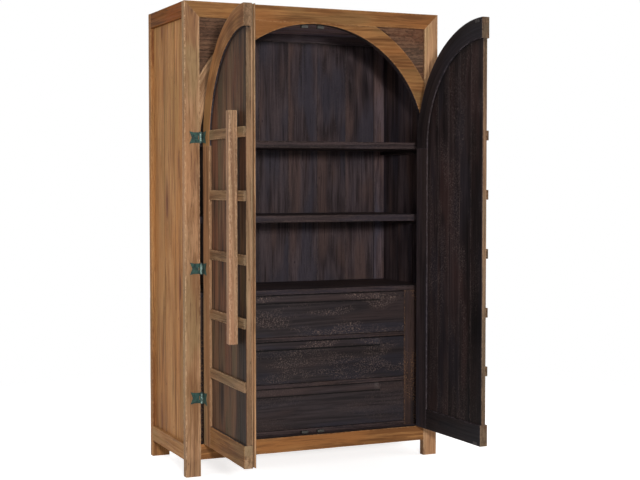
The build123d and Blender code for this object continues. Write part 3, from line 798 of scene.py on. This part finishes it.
def leg_shade(points):
    """Tone of the posts: darker over the last centimetres above the floor."""
    return -0.35 * np.clip((0.12 - points[:, 2]) / 0.06, 0, 1)


def rail_shade(points):
    """Tone of the top rail: a little paler towards the right."""
    return 0.25 * points[:, 0] - 0.08


for side, arris in (("left", POST_ARRIS), ("right", POST_ARRIS[1::-1] + POST_ARRIS[2:])):
    box = solids(f"front_post_{side}")[0]
    piece(f"front_post_{side}_board",
          [stock(box, "xyz", l=(box[0][2], mitre), arris=arris, across=5, dents=9, lean=leg_shade)],
          f"front_post_{side}", **OUTER)
piece("front_top_rail_board",
      [stock(solids("front_top_rail")[0], "zyx",
             l=(lambda z: TOP_Z - z - HALF_WIDTH, lambda z: HALF_WIDTH + z - TOP_Z),
             arris=(0.0004, 0.002, 0.0014, 0.0014), across=5, tone=0.2, lean=rail_shade)],
      "front_top_rail", **AMBER)
piece("front_bottom_rail_board", [stock(solids("front_bottom_rail")[0], "zyx", lean=0.5)],
      "front_bottom_rail", **AMBER)

# %% [markdown]
# ## The arch
# The arch is sawn from wide boards whose grain lies level, so the crown runs into the top rail. Only the
# foot of the left half is another board, whose grain follows the sweep and whose colour is the post's. A
# Curve with a bevelled profile would sweep such a shape too, but its grain would always follow the sweep.
# So each is a board bent round a circle: its width is the radius, its length the way along the soffit,
# and its outer limit is the band, cut off where it meets the post and the rail.

# %% Shape and finish of the arch
TOE = ARCH_RADIUS * math.acos(OPENING_HALF / (OPENING_HALF + ARCH_TOE))
JOINT, CROWN = ARCH_RADIUS * 0.8, ARCH_RADIUS * math.pi / 2


def arch_outer(way):
    """Outer radius along the soffit: the band, or what the post or the rail leaves of it."""
    angle = way / ARCH_RADIUS
    post_cut = OPENING_HALF / np.maximum(np.cos(angle), 1e-6)
    rail_cut = (HEAD_Z - ARCH_Z) / np.maximum(np.sin(angle), 1e-6)
    return np.minimum(np.minimum(ARCH_RADIUS + ARCH_BAND, post_cut), rail_cut)


def round_arch(sign):
    """Places radius, depth and way along the soffit on the left (-1) or right (1) half of the arch."""
    return lambda w, t, l: np.stack([sign * w * np.cos(l / ARCH_RADIUS), t,
                                     ARCH_Z + w * np.sin(l / ARCH_RADIUS)], -1)


def toe_painted_shadow(points):
    """Tone of the lower left piece: darker upwards, a painted shadow of the open left door."""
    return -0.1 - 0.55 * np.clip((points[:, 2] - ARCH_Z - 0.16) / 0.13, 0, 1)


def toe_stain(p):
    """The stain line, and the third finish on the lower piece of the left half."""
    low = p[:, 2] < ARCH_Z + ARCH_RADIUS * math.sin(JOINT / ARCH_RADIUS)
    return np.where(inside(p), 1, 2 * low)


print("soffit from", round(TOE, 3), "to", round(CROWN, 3), "with the left half's joint at", round(JOINT, 3))

# %% Arch
# The right half is one board with level grain. The left half is two.
SAWN = dict(step=0.008, tip=0.0003, arris=(0.002, 0.0012, 0.0014, 0.0014), tone=0.2)
CUTS = {"left": [(TOE, JOINT, None, toe_painted_shadow), (JOINT, CROWN, "x", -0.36)],
        "right": [(TOE, CROWN, "x", -0.2)]}
for side, sign in (("left", -1), ("right", 1)):
    cuts = [board((ARCH_RADIUS, arch_outer), (FACE_Y, FRAME_BACK_Y), (start, stop), place=round_arch(sign),
                  grain=grain, lean=lean, **SAWN) for start, stop, grain, lean in CUTS[side]]
    piece(f"arch_{side}_sawn", cuts, f"arch_{side}",
          **{**AMBER, "stain": toe_stain if side == "left" else inside})

# %% [markdown]
# ## Corner panels
# Between arch, post and rail sits a thin rough-sawn panel. It could be a whole rectangle, hidden behind
# the arch, but the real one stops at the arch's back. Across its width its lower end follows the outside
# of the arch, so the end limit is a circle.

# %% Corner panels
HAIR = 0.0003                           # what the solids leave between neighbouring boards
TIP_CUT = 0.001                         # how much of the panel's thinnest tip is left off
panel_box = solids("spandrel_left")[0]
PANEL_RADIUS = ARCH_RADIUS + ARCH_BAND + HAIR


def arch_back(x):
    """Height of the outside of the arch over x."""
    return ARCH_Z + np.sqrt(np.maximum(PANEL_RADIUS ** 2 - np.asarray(x) ** 2, 0))


tip_x = math.sqrt(PANEL_RADIUS ** 2 - (panel_box[1][2] - ARCH_Z) ** 2) + TIP_CUT
for side, sign in (("left", -1), ("right", 1)):
    w = tuple(sorted((sign * abs(panel_box[0][0]), sign * tip_x)))
    panel = board(w, (panel_box[0][1], panel_box[1][1]), (arch_back, panel_box[1][2]), grain="x",
                  across=24, step=0.02, arris=0.0006)
    piece(f"corner_panel_{side}", [panel], f"spandrel_{side}", "carcass", [sawn_corner, ebony_stain],
          "spandrel_wood", stain=inside)

# %% [markdown]
# ## Sides and back
# Each side is a frame with three upright planks in it, the back has seven. The planks could be one board
# with grooves drawn on it. As separate boards, with rounder arrises, they meet in real V-shaped grooves,
# and each has its own grain. The sides are amber, with a russet rail at the top, and stained inside.

# %% Tones of the sides and the back
BACK_HEAD_Z = max(box[0][2] for box in solids("back_rails"))


def back_post_tone(points):
    """Tone of the back posts: darker outside, and paler where they are stained."""
    return 1.65 * inside(points) - 0.25


def side_shade(points):
    """Tone of the side planks: paler towards the front."""
    return 0.4 * np.clip((0.42 - points[:, 1]) / 0.2, 0, 1)


def rail_stain(p):
    """The stain line, and the third finish on the lower side rails."""
    return np.where(inside(p), 1, 2 * (p[:, 2] < 1))


def painted_shadow_under_head(points):
    """Tone of the back: a painted shadow, darker in a narrow line where the upper back rail ends."""
    return -1.3 * np.exp(-((points[:, 2] - BACK_HEAD_Z) / 0.011) ** 2)


def rail_with_painted_shadow(points):
    """The same painted shadow line, on a paler rail."""
    return painted_shadow_under_head(points) + 0.6


def ceiling_painted_light(points):
    """Tone of the ceiling: painted light, much paler underneath, where little lamp light comes."""
    return 8.5 * inside(points)


print("upper back rail from z", round(BACK_HEAD_Z, 3))

# %% Sides and back
PLANK = dict(arris=0.0012, dents=2, sway=0.0005)
SIDE = {**OUTER, "finishes": [side_wood, faded_ebony]}
RUSSET = {**OUTER, "finishes": [russet_wood, faded_ebony, side_wood], "stain": rail_stain}
LINING = {**SIDE, "slot": "dark_wood"}
for side in ("left", "right"):
    boards(f"back_post_{side}", "xyz", SIDE, across=6, dents=6, tone=0.1, lean=back_post_tone)
    boards(f"side_rails_{side}", "zxy", RUSSET, tone=0.2)
    boards(f"side_panel_{side}", "yxz", SIDE, seam=0.9, lean=side_shade, tone=0.25, **PLANK)
boards("back_rails", "zyx", SIDE, across=6, lean=rail_with_painted_shadow)
boards("back_panel", "xyz", LINING, lean=painted_shadow_under_head, tone=0.25, **PLANK)
boards("ceiling_panel", "yzx", LINING, lean=ceiling_painted_light)
boards("floor_panel", "yzx", LINING)

# %% [markdown]
# ## Shelves and drawer case
# Everything in here is stained. A shelf could be one board with notches round the back posts, but a
# notch isn't a limit of a board. Two plain boards look the same: a wide one, and a narrower one behind it
# that fills the space between the posts. The case below has a stile at each side and a rail under each
# drawer.

# %% Shelves and case
DARK = dict(body="carcass", finishes=[ebony_stain], slot="dark_wood")
for node in ("upper_shelf", "lower_shelf", "drawer_deck"):
    low, high = solids(node)[0]
    front = (low, (high[0], BACK_POST_Y, high[2]))
    behind = ((-BACK_OPENING_HALF, BACK_POST_Y, low[2]), (BACK_OPENING_HALF, high[1], high[2]))
    piece(f"{node}_boards", [stock(front, "yzx", arris=0.0022, dents=8, tone=0.2, lean=0.3),
                             stock(behind, "yzx")], node, **DARK)
boards("shelf_cleats", "zxy", DARK)
boards("case_stiles", "xyz", {**DARK, "finishes": [case_ebony]})
boards("case_sides", "yxz", DARK)
boards("case_rails", "yzx", DARK)

# %% [markdown]
# ## Doors
# The stain on the quarter arch's inner edge also paints the shade that falls there.
# A door is a stile on the hinge side, a quarter arch and a bottom rail, with five planks tongued into
# them and flat cross rails laid over the planks. There is no stile on the free side: planks and rails
# simply end there, and their bare sawn ends show when the doors stand open. In front the stile and the
# cross rails are brown, the quarter arch and the bottom rail are amber and the handle bar is pale. Behind,
# the frame is stained, as its inner edges are, but for the front half of the stile's, which was left bare.
# A door could be modelled where it stands, turned by 92 degrees, but its limits would be hard to write.
# In its own coordinates, from the pin, it lies straight, and it is swung open at the end.

# %% Door limits
stile = solids("left_door_stile", "left")[0]
HINGE_EDGE, FIELD_LEFT = stile[0][0], stile[1][0]
DOOR_FRONT, DOOR_BACK = stile[0][1], stile[1][1]
DOOR_RADIUS, FIELD_RADIUS = PIN_X - HINGE_EDGE, PIN_X - FIELD_LEFT
bottom_rail = solids("left_door_bottom_rail", "left")[0]
FREE_EDGE, FIELD_BOTTOM = bottom_rail[1][0], bottom_rail[1][2]
RAILS = solids("left_door_cross_rails", "left")
PLANK_FRONT = RAILS[0][1][1]


def field_top(x):
    """Height of the inside of the door's quarter arch over x."""
    return ARCH_Z + np.sqrt(np.maximum(FIELD_RADIUS ** 2 - (PIN_X - x) ** 2, 0))


def field_side(z):
    """Where a level line at z meets the inside of the stile or of the quarter arch."""
    rise = np.maximum(z - ARCH_Z, 0)
    return PIN_X - np.sqrt(np.maximum(FIELD_RADIUS ** 2 - rise ** 2, 0))


def round_door(w, t, l):
    """Places radius, depth and way along the quarter arch of a door."""
    angle = l / FIELD_RADIUS
    return np.stack([PIN_X - w * np.cos(angle), t, ARCH_Z + w * np.sin(angle)], -1)


def door_end(radius):
    """Way along the quarter arch at which it reaches the free edge."""
    return FIELD_RADIUS * np.arccos((PIN_X - FREE_EDGE) / radius)


print("door rails start at", sorted(round(float(low[2]), 3) for low, high in RAILS))

# %% Tones and painted shade of the doors
PLANK_SHADE = [0.3, 0.7, 0.85, 1.45, 1.75], [-0.6, -0.3, 0.4, 0.4, -0.75]    # heights, and tones there
# EDGE_SHADE is painted shade beside the free edge, and ARCH_BLUR the reach of the painted shade beside the
# stile and the arch.
EDGE_SHADE = [0.5, 0.7, 1.5, 1.65], [-1.0, -1.4, -1.4, 0.0]                  # beside the free edge
ARCH_SHADE = [0.22, 0.39, 0.50], [0.13, -0.3, -0.6]                          # above the spring line
EDGE_BAND, EDGE_BLUR, ARCH_BLUR = 0.14, 0.04, 0.013
BARE_FROM, PLANK_END = FREE_EDGE - 0.001, FREE_EDGE - 0.004


def field_painted_shade(points):
    """Tone of the planks: darker at both ends, and painted shade beside the stile, the arch and the free
    edge.
    """
    x, z = points[:, 0], points[:, 2]
    rise = np.maximum(z - ARCH_Z, 0)
    apart = FIELD_RADIUS - np.hypot(PIN_X - x, rise)
    beside = np.clip((x - FREE_EDGE + EDGE_BAND) / EDGE_BLUR, 0, 1) * (x < PLANK_END)
    level = np.interp(z, *PLANK_SHADE) + np.interp(z, *EDGE_SHADE) * beside
    return level - 1.3 * np.exp(-np.maximum(apart, 0) / ARCH_BLUR)


def arch_shade(points):
    """Tone of the quarter arch: paler at its foot and darker towards its crown."""
    return np.interp(points[:, 2] - ARCH_Z, *ARCH_SHADE)


def three_tones(front, back, end):
    """Tones of the front half of a door's board, of its back half and of its bare end."""
    def tone(points):
        halves = np.where(points[:, 1] < (DOOR_FRONT + DOOR_BACK) / 2, front, back)
        return np.where(points[:, 0] > BARE_FROM, end, halves)
    return tone


print("tone in the middle of the planks:", field_painted_shade(np.array([[0.3, 0, 1.0]])).round(2)[0])

# %% Door frame
OUTSIDE, STAINED, BARE = 0, 1, 2        # places in a door board's list of finishes
ARRIS = dict(dents=5, tone=0.2)


def door_frame(side, bare):
    """Stile, bottom rail, quarter arch and cross rails of a door."""
    look = dict(body=f"{side}_door", side=side, slot="weathered_wood")
    brown, amber = [door_wood, frame_ebony, bare], [amber_wood, frame_ebony, bare]
    piece(f"{side}_door_stile_board",
          [stock(stile, "xyz", skins={"t+": STAINED, "w+b": STAINED, "w+f": BARE},
                 lean=three_tones(-0.2, 1.35, 0.0), **ARRIS)],
          f"{side}_door_stile", finishes=brown, **look)
    piece(f"{side}_door_bottom_rail_board",
          [stock(bottom_rail, "zyx", skins={"t+": STAINED, "w+": STAINED, "l+": BARE},
                 lean=three_tones(-0.45, -0.75, 0.35), **ARRIS)],
          f"{side}_door_bottom_rail", finishes=amber, **look)
    # The quarter arch's stained inner edge (w-) is also painted shade.
    arch = board((FIELD_RADIUS, DOOR_RADIUS), (DOOR_FRONT, DOOR_BACK), (0.0, door_end), place=round_door,
                 skins={"t+": STAINED, "w-": STAINED, "l+": BARE}, step=0.012, lean=arch_shade, **ARRIS)
    piece(f"{side}_door_quarter_arch", [arch], f"{side}_door_arch_rail", finishes=amber, **look)
    rails = [stock(rail, "zyx", l=(field_side, FREE_EDGE), skins={"l+": BARE}, lean=-0.5, **ARRIS)
             for rail in RAILS]
    piece(f"{side}_door_cross_boards", rails, f"{side}_door_cross_rails", finishes=brown, **look)


# %% Door planks and handle
def door_field(side, bare):
    """Planks and handle bar of a door. The last plank's free edge is bare."""
    look = dict(body=f"{side}_door", side=side)
    planks = []
    for low, high in solids(f"{side}_door_panel", side):
        w = (max(low[0], FIELD_LEFT + HAIR), high[0])
        skins = {"t+": STAINED, "w+": BARE if high[0] > BARE_FROM else OUTSIDE}
        planks.append(board(w, (PLANK_FRONT, high[1]), (FIELD_BOTTOM, field_top), skins=skins, across=12,
                            lean=field_painted_shade, tone=0.15, **PLANK))
    piece(f"{side}_door_planks", planks, f"{side}_door_panel",
          finishes=[smoked_planks, deep_ebony, bare], slot="door_planks", **look)
    bar = stock(solids(f"{side}_door_handle", side)[0], "xyz", arris=0.003, tip=0.0025, dents=10, tone=0.2,
                lean=-0.22)
    piece(f"{side}_door_handle_bar", [bar], f"{side}_door_handle", finishes=[pale_wood],
          slot="weathered_wood", **look)


# %% Doors
# The right door's bare ends take the darker copy, as painted shade.
for side, bare in (("left", bare_wood), ("right", shaded_bare)):
    door_frame(side, bare)
    door_field(side, bare)

# %% [markdown]
# ## Drawer fronts
# The drawers have no knobs: a long hollow is scooped out of the upper edge, and fingers reach into it
# from the front. A Boolean could scoop it, but it would leave long thin faces, and nothing to hold the
# wear of its rim. So the front is a section in Y and Z carried along X. Each point of the hollow has two
# places, one on the plain board and one on a circle; between the ends of the hollow the second one holds,
# and two stations close together make each end of it crisp.

# %% Section of a drawer front
PULL_HEIGHT, PULL_DEPTH, PULL_RADIUS, PULL_MARGIN = 0.040, 0.011, 0.060, 0.127
EASE = 0.0014
BESIDE = 0.002                          # from an eased corner, or an end, to the next point


def eased_corner(y, z, into_y, into_z):
    """Quarter circle from the upright face through y to the level face through z."""
    return np.array([y, z]) + EASE * np.stack([into_y * (1 - np.cos(ARC)), into_z * (1 - np.sin(ARC))], 1)


def hollow_points(y0, z1):
    """The circle of the given radius through the two rims of the hollow, as 13 points from rim to rim.

    Its centre lies square to the middle of the line between the rims, in front of the board.
    """
    chord = math.hypot(PULL_HEIGHT, PULL_DEPTH)
    reach = math.sqrt(PULL_RADIUS ** 2 - (chord / 2) ** 2)
    centre = np.array([y0 + PULL_DEPTH / 2 - reach * PULL_HEIGHT / chord,
                       z1 - PULL_HEIGHT / 2 + reach * PULL_DEPTH / chord])
    first = math.atan2(z1 - PULL_HEIGHT - centre[1], y0 - centre[0])
    last = math.atan2(z1 - centre[1], y0 + PULL_DEPTH - centre[0])
    angle = np.linspace(first, last, 13)
    return centre + PULL_RADIUS * np.stack([np.cos(angle), np.sin(angle)], 1)


def drawer_section(y0, z0, y1, z1):
    """Outline of the front, plain and with the hollow, the wear of its points and their two tones, which
    hold painted shade and light.
    """
    front = np.linspace(z1 - PULL_HEIGHT, z1 - EASE - BESIDE, 6)
    top = np.array([0.004, 0.007, PULL_DEPTH]) + y0
    plain = np.concatenate([np.stack([0 * front + y0, front], 1), eased_corner(y0, z1, 1, -1),
                            np.stack([top, 0 * top + z1], 1)])
    face = np.array([z0 + EASE + BESIDE, (z0 + z1 - PULL_HEIGHT) / 2, z1 - PULL_HEIGHT - BESIDE])
    before = np.concatenate([eased_corner(y0, z0, 1, 1)[::-1], np.stack([0 * face + y0, face], 1)])
    after = np.concatenate([[[y0 + PULL_DEPTH + BESIDE, z1]], eased_corner(y1, z1, -1, -1)[::-1],
                            [[y1, (z0 + z1) / 2]], eased_corner(y1, z0, -1, 1)])
    wear = np.zeros(len(before) + len(plain) + len(after))
    wear[:4] = 0.6                      # the lower front arris
    wear[7] = 0.5                       # the lower rim of the hollow
    wear[21:24] = 0.3                   # the upper back arris
    tone = np.zeros((2, len(wear)))
    tone[0, 13:20] = -1.4               # the top of the plain board, in the dark under the rail above
    # With the hollow: dark at its lower rim, partly dirt and partly painted shade, then painted light where
    # it faces up, and painted shade again on top.
    tone[1, 6:20] = -0.3, -1.8, -1.8, -0.4, 0.5, 0.8, 0.8, 0.8, 0.8, 0.8, 0.8, 0.7, -1.3, -1.4
    hollowed = np.concatenate([before, hollow_points(y0, z1), after])
    return np.concatenate([before, plain, after]), hollowed, wear, tone


print("points of a drawer front's section:", len(drawer_section(0, 0, 0.02, 0.2)[0]))

# %% Drawer front
END_EASE = (0.0012, 0.004)              # stations at which the section grows to its full size
NEAR_END, CRISP = 0.001, 0.0004         # what counts as the hollow's end, and the step down into it


def drawer_front(box, shade):
    """Surface of a drawer front over its solid's box, with a tone of its own."""
    (_, y0, z0), (x1, y1, z1) = box
    plain, hollowed, rim, depth = drawer_section(y0, z0, y1, z1)
    end = x1 - PULL_MARGIN
    side = np.r_[x1, x1 - END_EASE[0], x1 - END_EASE[1], (x1 + end) / 2, end + BESIDE, end]
    x = np.r_[-side, np.linspace(-end + CRISP, end - CRISP, 24), side[::-1]]
    scooped = (np.abs(x) < end - CRISP / 2)[:, None]
    section = np.where(scooped[:, :, None], hollowed, plain)
    middle = np.array([(y0 + y1) / 2, (z0 + z1) / 2])
    drawn_in = np.ones(len(x)) - 0.02 * (np.abs(x) > x1 - 0.0001)
    section = middle + (section - middle) * drawn_in[:, None, None]
    grid = np.concatenate([np.broadcast_to(x[:, None, None], (*section.shape[:2], 1)), section], 2)
    at_end = (np.abs(np.abs(x) - end) < NEAR_END)[:, None] * (depth[1] > 0.4)
    wear = np.maximum(np.maximum(rim[None], (np.abs(x) > x1 - BESIDE)[:, None]), 0.9 * at_end)
    tube, near, far = grid_faces(*grid.shape[:2])
    points, quads = grid.reshape(-1, 3), np.concatenate([tube, near, far])
    # The section's tones add painted shade and painted light to the front's own tone.
    return surface(points, quads, np.zeros(len(quads), int), np.roll(points, 2, axis=1), wear.ravel(), 0.1,
                   shade + np.where(scooped, depth[1], depth[0]).ravel())


# %% Drawers
FRONTS = {"lower_drawer": (calm_ebony, 0.0), "middle_drawer": (crackled_ebony, -0.4),
          "upper_drawer": (crackled_ebony, 0.0)}
for name, (front_finish, shade) in FRONTS.items():
    look = dict(body=name, slot="dark_wood")
    piece(f"{name}_scooped_front", [drawer_front(solids(f"{name}_front")[0], shade)], f"{name}_front",
          finishes=[front_finish], **look)
    walls = [stock((low, high), "yxz" if high[1] - low[1] > high[0] - low[0] else "zyx")
             for low, high in solids(f"{name}_box")]
    piece(f"{name}_walls", walls, f"{name}_box", finishes=[ebony_stain], **look)
    piece(f"{name}_bottom_board", [stock(solids(f"{name}_bottom")[0], "yzx")], f"{name}_bottom",
          finishes=[ebony_stain], **look)

# %% [markdown]
# ## The strip behind the left door
# The left door closes first, and a rebated strip behind its free edge covers the gap between the doors. It
# is one solid with a step in it, and it could be dressed as one. But it is three boards to look at: a
# packing level with the planks' bare ends, the stained strip on the door's back, and a thin lip that
# reaches past the edge and is rubbed bare there. So each is a board of its own.

# %% Meeting strip
LIP, REBATE, OVERLAP, SUNK = 0.0055, 0.006, 0.002, 0.0001


def lip_painted_light(points):
    """Tone of the lip: painted light, paler than its finish but less so towards the top."""
    return np.interp(points[:, 2], [1.3, 1.75], [1.5, 0.2])


low, high = solids("left_door_astragal", "left")[0]
crown = float(field_top(low[0])) - 2 * HAIR
packing = board((low[0], FREE_EDGE), (low[1], DOOR_BACK), (FIELD_BOTTOM + HAIR, crown), arris=0.0006,
                skins={"t+": STAINED, "w+": BARE}, lean=0.4)
strip = board((low[0], FREE_EDGE - REBATE), (DOOR_BACK, high[1]), (low[2], high[2]), arris=0.0008,
              skins={"w-": STAINED, "w+": BARE, "t+": STAINED})
lip = board((FREE_EDGE - REBATE - OVERLAP, high[0]), (high[1] - LIP, high[1] - SUNK), (low[2], high[2]),
            arris=0.0008, skins={"t+": STAINED, "w-": STAINED, "w+": BARE}, lean=lip_painted_light)
piece("left_door_meeting_strip", [packing, strip, lip], "left_door_astragal", "left_door",
      [door_wood, ebony_stain, bare_wood], "weathered_wood", side="left")

# %% [markdown]
# ## Ironwork
# The hinges are cut from sheet. Their outlines could be drawn again as curves, but they are right in the
# solids, and all they lack is the eased edge that a file leaves. So a copy of the solid's mesh is merged,
# its flat faces are joined again, and a Bevel modifier rounds every edge by less than a millimetre.

# %% Eased copies of iron solids
def eased(name, node, body, finish, width):
    """A bevelled copy of a node's mesh, which stands for the node."""
    mesh = bmesh.new()
    mesh.from_mesh(nodes[node].data)
    bmesh.ops.remove_doubles(mesh, verts=mesh.verts, dist=2e-5)
    bmesh.ops.dissolve_limit(mesh, angle_limit=math.radians(2), verts=mesh.verts, edges=mesh.edges)
    copy = bpy.data.meshes.new(name)
    mesh.to_mesh(copy)
    mesh.free()
    copy.materials.clear()
    copy.materials.append(finish)
    copy.polygons.foreach_set("material_index", np.zeros(len(copy.polygons), np.int32))
    bevel = stand_in(name, copy, node, body).modifiers.new("filed_edge", "BEVEL")
    bevel.width, bevel.segments, bevel.limit_method, bevel.angle_limit = width, 2, "ANGLE", 0.6
    bevel.harden_normals = False


for side in ("left", "right"):
    eased(f"{side}_post_straps", f"{side}_hinge_post_leaves", "carcass", verdigris, 0.0006)
    eased(f"{side}_door_straps", f"{side}_hinge_door_leaves", f"{side}_door", verdigris, 0.0006)
    eased(f"{side}_strike_plates", f"{side}_door_strikes", f"{side}_door", strike_steel, 0.0003)
eased("catch_housings", "door_catches", "carcass", catch_steel, 0.0008)

# %% Finishes of the solids that stay
for node, finish in (("hinge_pins", verdigris), ("slide_channels", steel), ("lower_drawer_rails", steel),
                     ("middle_drawer_rails", steel), ("upper_drawer_rails", steel)):
    nodes[node].data.materials.clear()
    nodes[node].data.materials.append(finish)
    print(node, "stay solids, in", finish.name)

# %% [markdown]
# ## Room and light
# A pale floor and a soft studio. A white world would do for the background, but it would also flood the
# wood with light. So the world is pure white only to camera, glossy and transmission rays, and to all
# other rays it is a soft grey fill. The floor keeps the cabinet's shadow, and away from the cabinet it
# fades into the same white. Three wide lamps shade the wood softly, and a smaller one in front draws
# the shadows.

# %% World
FILL_COLOUR, FILL = (1.0, 0.99, 0.975, 1), 0.33
WHITE = (1, 1, 1, 1)


def seen_rays(g):
    """1 for the rays that look at things: camera, glossy and transmission rays."""
    rays = g.add("LightPath").node.outputs
    first = g.math("MAXIMUM", rays["Is Camera Ray"], rays["Is Glossy Ray"])
    return g.math("MAXIMUM", first, rays["Is Transmission Ray"])


world = bpy.data.worlds.new("studio")
bpy.context.scene.world = world
g = Graph(world)
g.tree.nodes.clear()
soft = g.add("Background", {"Color": FILL_COLOUR, "Strength": FILL})
white = g.add("Background", {"Color": WHITE, "Strength": 1.0})
blended = g.add("MixShader", {0: seen_rays(g), 1: soft, 2: white})
g.set(g.tree.nodes.new("ShaderNodeOutputWorld"), {"Surface": blended})
print("world of", len(g.tree.nodes), "nodes")

# %% Floor
FLOOR_GLOW, FLOOR_HALF = 0.74, 30.0
FADE_FROM, FADE_TO = 1.3, 3.2           # metres from the middle of the cabinet


def pale_floor():
    """White but for the shadow: a diffuse floor with a little glow, which fades to plain white far away."""
    g = Graph(bpy.data.materials.new("pale_floor"))
    seen = seen_rays(g)
    g.set(g.shader, {"Base Color": (0.80, 0.80, 0.80, 1), "Roughness": 0.9, "Specular IOR Level": 0.1,
                     "Emission Color": WHITE, "Emission Strength": g.math("MULTIPLY", seen, FLOOR_GLOW)})
    away = g.add("VectorMath", {0: g.add("TexCoord", out=3)}, 1, operation="LENGTH")
    far = g.math("MULTIPLY", g.between(away, FADE_FROM, FADE_TO), seen)
    plain = g.add("Emission", {"Color": WHITE, "Strength": 1.0})
    blended = g.add("MixShader", {0: far, 1: g.shader.outputs[0], 2: plain})
    g.set(g.tree.nodes["Material Output"], {"Surface": blended})
    return g.owner


floor_mesh = bpy.data.meshes.new("studio_floor")
corners = [(x * FLOOR_HALF, y * FLOOR_HALF, 0) for x, y in ((-1, -1), (1, -1), (1, 1), (-1, 1))]
floor_mesh.from_pydata(corners, [], [(0, 1, 2, 3)])
floor_mesh.materials.append(pale_floor())
floor = linked("studio_floor", floor_mesh)
print("floor of", 2 * FLOOR_HALF, "metres")


# %% Lamps
def soft_lamp(name, place, aim, wide, high, power):
    """An area lamp of a given width and height that points at aim."""
    light = bpy.data.lights.new(name, "AREA")
    light.shape, light.size, light.size_y, light.energy = "RECTANGLE", wide, high, power
    lamp = linked(name, light)
    lamp.location = place
    lamp.rotation_euler = (Vector(aim) - Vector(place)).to_track_quat("-Z", "Y").to_euler()
    print(name, "of", power, "W")


soft_lamp("front_lamp", (-2.0, -7.35, 2.1), (0, 0, 1.05), 0.7, 0.6, 385)
soft_lamp("side_lamp", (-6.0, -1.4, 2.4), (0, 0, 1.0), 3.0, 3.0, 105)
soft_lamp("right_lamp", (5.5, -3.0, 2.2), (0, 0, 1.0), 3.0, 3.0, 60)
soft_lamp("back_lamp", (1.5, 6.0, 3.0), (0, 0, 1.0), 3.5, 3.5, 140)
bpy.context.scene.view_settings.view_transform = "Standard"
